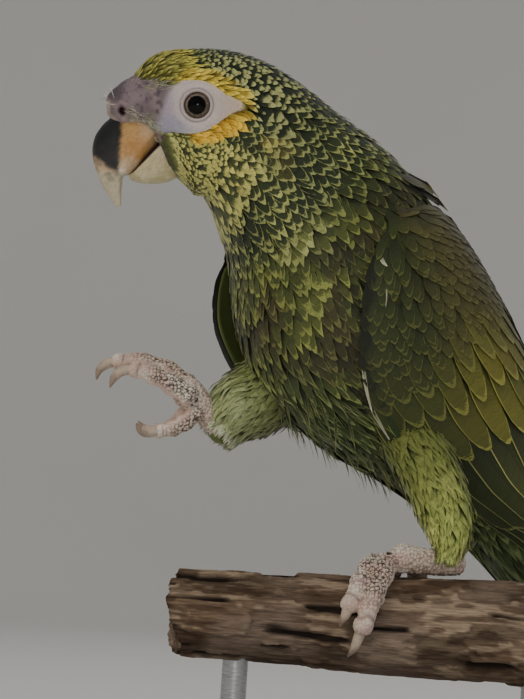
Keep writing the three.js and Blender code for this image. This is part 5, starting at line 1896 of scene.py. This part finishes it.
# Weathered hardwood without bark: grey-brown and dry, with fibres drawn 0.5 mm wide.
def woodMaterial():
    material, tree, shader = newMaterial("weathered branch wood", Roughness=0.85, IOR=1.5,
                                         Specular_IOR_Level=0.25)
    fibre = noiseAt(tree, objectPlace(tree, (0.09, 1.0, 1.0)), 2000, 4.0, 0.6)
    tint = shaded(tree, read(tree, "tint", "Color"), fibre, (0.3, 0.7), (0.55, 1.3))
    applySurface(tree, shader, tint, fibre, 0.6, 0.0004)
    return material


stand = {
    "width": 170, "depth": 120, "height": 9, "corner": 14, "edge": 1.5,
    "rodRadius": 4, "rods": {"left": 48, "right": -45}, "rodTop": 74,
}


# The base: a rounded rectangle, drawn in at top and bottom by a quarter round.
def buildBase(material):
    quarter = np.linspace(0, np.pi / 2, 13)
    turns = np.concatenate([quarter + k * np.pi / 2 for k in range(4)])
    cornerX = np.repeat([1, -1, -1, 1], 13) * (stand["width"] / 2 - stand["corner"])
    cornerY = np.repeat([1, 1, -1, -1], 13) * (stand["depth"] / 2 - stand["corner"])
    bend = np.linspace(0, np.pi / 2, 6)
    inset = stand["edge"] * np.concatenate([1 - np.sin(bend), 1 - np.cos(bend)])
    height = np.concatenate([stand["edge"] * (1 - np.cos(bend)),
                             stand["height"] - stand["edge"] * (1 - np.sin(bend))])
    radius = stand["corner"] - inset[:, None]
    inner = np.array([0.9, 0.6, 0.3])[:, None]
    ring = np.stack([cornerX + radius * np.cos(turns), cornerY + radius * np.sin(turns),
                     height[:, None] + 0 * turns], -1)
    flatten = lambda edge: edge * np.concatenate([inner, inner, 1 + 0 * inner], axis=1)[:, None]
    grid = np.concatenate([flatten(ring[0])[::-1], ring, flatten(ring[-1])])
    points, faces = closedBody(grid)
    piece = makePiece("stand_base_board", points, faces, material, sharpOver=40)
    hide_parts("stand_base")


# Two upright rods from the base into the branch, a little drawn in at the foot.
def buildRods(material):
    around = circle(48)
    for name, x in stand["rods"].items():
        radius = np.array([0.8, 1.0, 1.0, 1.0])[:, None] * stand["rodRadius"]
        z = np.array([stand["height"] + 0.02, stand["height"] + 0.5, 40.0, stand["rodTop"]])[:, None]
        grid = np.stack([x + radius * np.cos(around), radius * np.sin(around), z + 0 * around], -1)
        points, faces = closedBody(grid)
        piece = makePiece(f"stand_rod_{name}_steel", points, faces, material, sharpOver=40)
        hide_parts(f"stand_rod_{name}")


# Board sprayed with charcoal paint: satin, with the spray's fine orange peel, 1.5 mm across.
def paintMaterial():
    material, tree, shader = newMaterial("charcoal satin paint on board", Roughness=0.42, IOR=1.5)
    peel, soft = noiseAt(tree, objectPlace(tree), 650, 2.0), noiseAt(tree, objectPlace(tree), 40, 3.0)
    tint = blendColours(tree, ramp(tree, soft, 0.3, 0.7), colour("#29292b"), colour("#343436"))
    applySurface(tree, shader, tint, peel, 0.12, 0.0002)
    return material


# Brushed stainless steel rod: brush lines run round it, 0.15 mm apart.
def steelMaterial():
    material, tree, shader = newMaterial("brushed stainless steel", Metallic=1.0)
    brush = noiseAt(tree, objectPlace(tree, (0.05, 0.05, 1.0)), 6500, 2.0)
    tint = blendColours(tree, ramp(tree, brush, 0.3, 0.7), colour("#9c9da0"), colour("#c3c4c7"))
    tree.links.new(mapped(tree, brush, (0.3, 0.7), (0.24, 0.42)), shader.inputs["Roughness"])
    applySurface(tree, shader, tint, brush, 0.1, 0.0001)
    return material


studio = {"floor": 1600.0, "fillet": 800.0, "height": 2400.0}


# A plain pale room: a floor that turns up into a wall all round, with its inner face shown.
def buildStudio():
    bend = np.linspace(0, np.pi / 2, 16)
    radius = np.concatenate([[1.0, 400.0, 900.0], studio["floor"] + studio["fillet"] * np.sin(bend),
                             [studio["floor"] + studio["fillet"]] * 2])
    z = np.concatenate([[0.0, 0.0, 0.0], studio["fillet"] * (1 - np.cos(bend)), [1600.0, studio["height"]]])
    around = circle(96)
    grid = np.stack([radius[:, None] * np.cos(around), radius[:, None] * np.sin(around),
                     z[:, None] + 0 * around], -1)
    rows, columns = grid.shape[:2]
    faces = gridQuads(np.arange(rows * columns).reshape(rows, columns), closed=True)
    mesh = bpy.data.meshes.new("studio_floor")
    mesh.from_pydata(grid.reshape(-1, 3) * mm, [], faces.tolist())
    mesh.polygons.foreach_set("use_smooth", np.ones(len(faces), bool))
    material, tree, shader = newMaterial("matt pale paper", Roughness=0.9)
    soft = noiseAt(tree, objectPlace(tree), 3.0, 2.0)
    paper = blendColours(tree, soft, colour("#efede9"), colour("#f3f1ed"))
    tree.links.new(paper, shader.inputs["Base Color"])
    mesh.materials.append(material)
    room = addObject("studio_floor", mesh)


lights = {  # place in metres, size in metres, power in watts, colour
    "key": ((-0.75, -0.85, 1.15), 0.9, 9.5, "#fff8ef"),
    "fill": ((0.9, -0.9, 0.55), 1.2, 2.2, "#eef3ff"),
    "rim": ((0.55, 0.9, 0.95), 0.9, 2.5, "#ffffff"),
    "front": ((-0.06, -0.58, 0.21), 0.13, 0.45, "#ffffff"),  # small, for the glint in the eye
}


# The matrix that stands an object at a place, its X, Y and Z along the directions right, up and back.
def matrixOf(right, up, back, at):
    matrix = np.eye(4)
    matrix[:3] = np.column_stack([right, up, back, at])
    return Matrix(matrix.tolist())


# Disks of light aimed at the middle of the bird, and dim light from all round.
def buildLights():
    for name, (place, size, power, tint) in lights.items():
        data = bpy.data.lights.new(name, "AREA")
        data.shape = "DISK"
        data.size = size
        data.energy = power
        data.color = colour(tint)[:3]
        back = unit(np.array(place) - [0.0, 0.0, 0.15])
        right = unit(np.cross([0, 0, 1], back))
        lamp = addObject(name, data)
        lamp.matrix_world = matrixOf(right, np.cross(back, right), back, place)
        lamp.visible_camera = False
        lamp.visible_glossy = name == "front"
    world = bpy.data.worlds.new("studio air")
    world.use_nodes = True
    air = world.node_tree.nodes["Background"].inputs
    air["Color"].default_value = colour("#dfe3e8")
    air["Strength"].default_value = 0.3
    bpy.context.scene.world = world


camera = {
    "at": (-0.0430, -0.4749, 0.1020),
    "rise": 8.0,  # degrees, how far it looks up
    "tilt": 3.7,  # degrees, its turn about its own line of sight
    "lens": 77.25,
}


# The camera looks along +Y, raised by its rise, and is turned about its line of sight by its tilt.
def buildCamera():
    rise, tilt = np.radians(camera["rise"]), np.radians(camera["tilt"])
    right = np.array([1.0, 0.0, 0.0])
    up = np.array([0.0, -np.sin(rise), np.cos(rise)])
    forward = np.array([0.0, np.cos(rise), np.sin(rise)])
    tiltedRight = right * np.cos(tilt) + up * np.sin(tilt)
    tiltedUp = -right * np.sin(tilt) + up * np.cos(tilt)
    data = bpy.data.cameras.new("camera")
    data.sensor_width = 36
    data.lens = camera["lens"]
    view = addObject("camera", data)
    view.matrix_world = matrixOf(tiltedRight, tiltedUp, -forward, camera["at"])
    bpy.context.scene.camera = view


buildCamera()
buildLights()
buildStudio()
print("camera, lights and room ready")
smallFeathers = featherMaterial("contour feathers, keratin", 0.4)
flightFeathers = featherMaterial("flight feathers, keratin", 0.3, shaft=0.35)
buildBodyCoat(smallFeathers)
buildScapulars(smallFeathers)
buildTail(flightFeathers)
for side in ("left", "right"):
    buildWingCoat(side, smallFeathers, flightFeathers)
    buildThighCoat(side, smallFeathers)
print("coat ready")
buildSkin()
eyes = eyeMaterial()
buildEye(1, "eyeball_left", "eye_left", eyes)
buildEye(-1, "eyeball_right", "eye_right", eyes)
buildCere(skinMaterial())
darkHorn, paleHorn = hornMaterial("dark bill horn", 0.4), hornMaterial("pale bill horn", 0.42)
billPiece("bill_upper_horn", upperBill, darkHorn, "bill_upper", upperBillPaint)
billPiece("bill_lower_horn", lowerBill, paleHorn, "bill_lower", lowerBillPaint)
buildClaws(hornMaterial("claw horn", 0.45))
print("head and feet ready")
buildPerch(woodMaterial())
buildBase(paintMaterial())
buildRods(steelMaterial())
print("branch and stand ready")
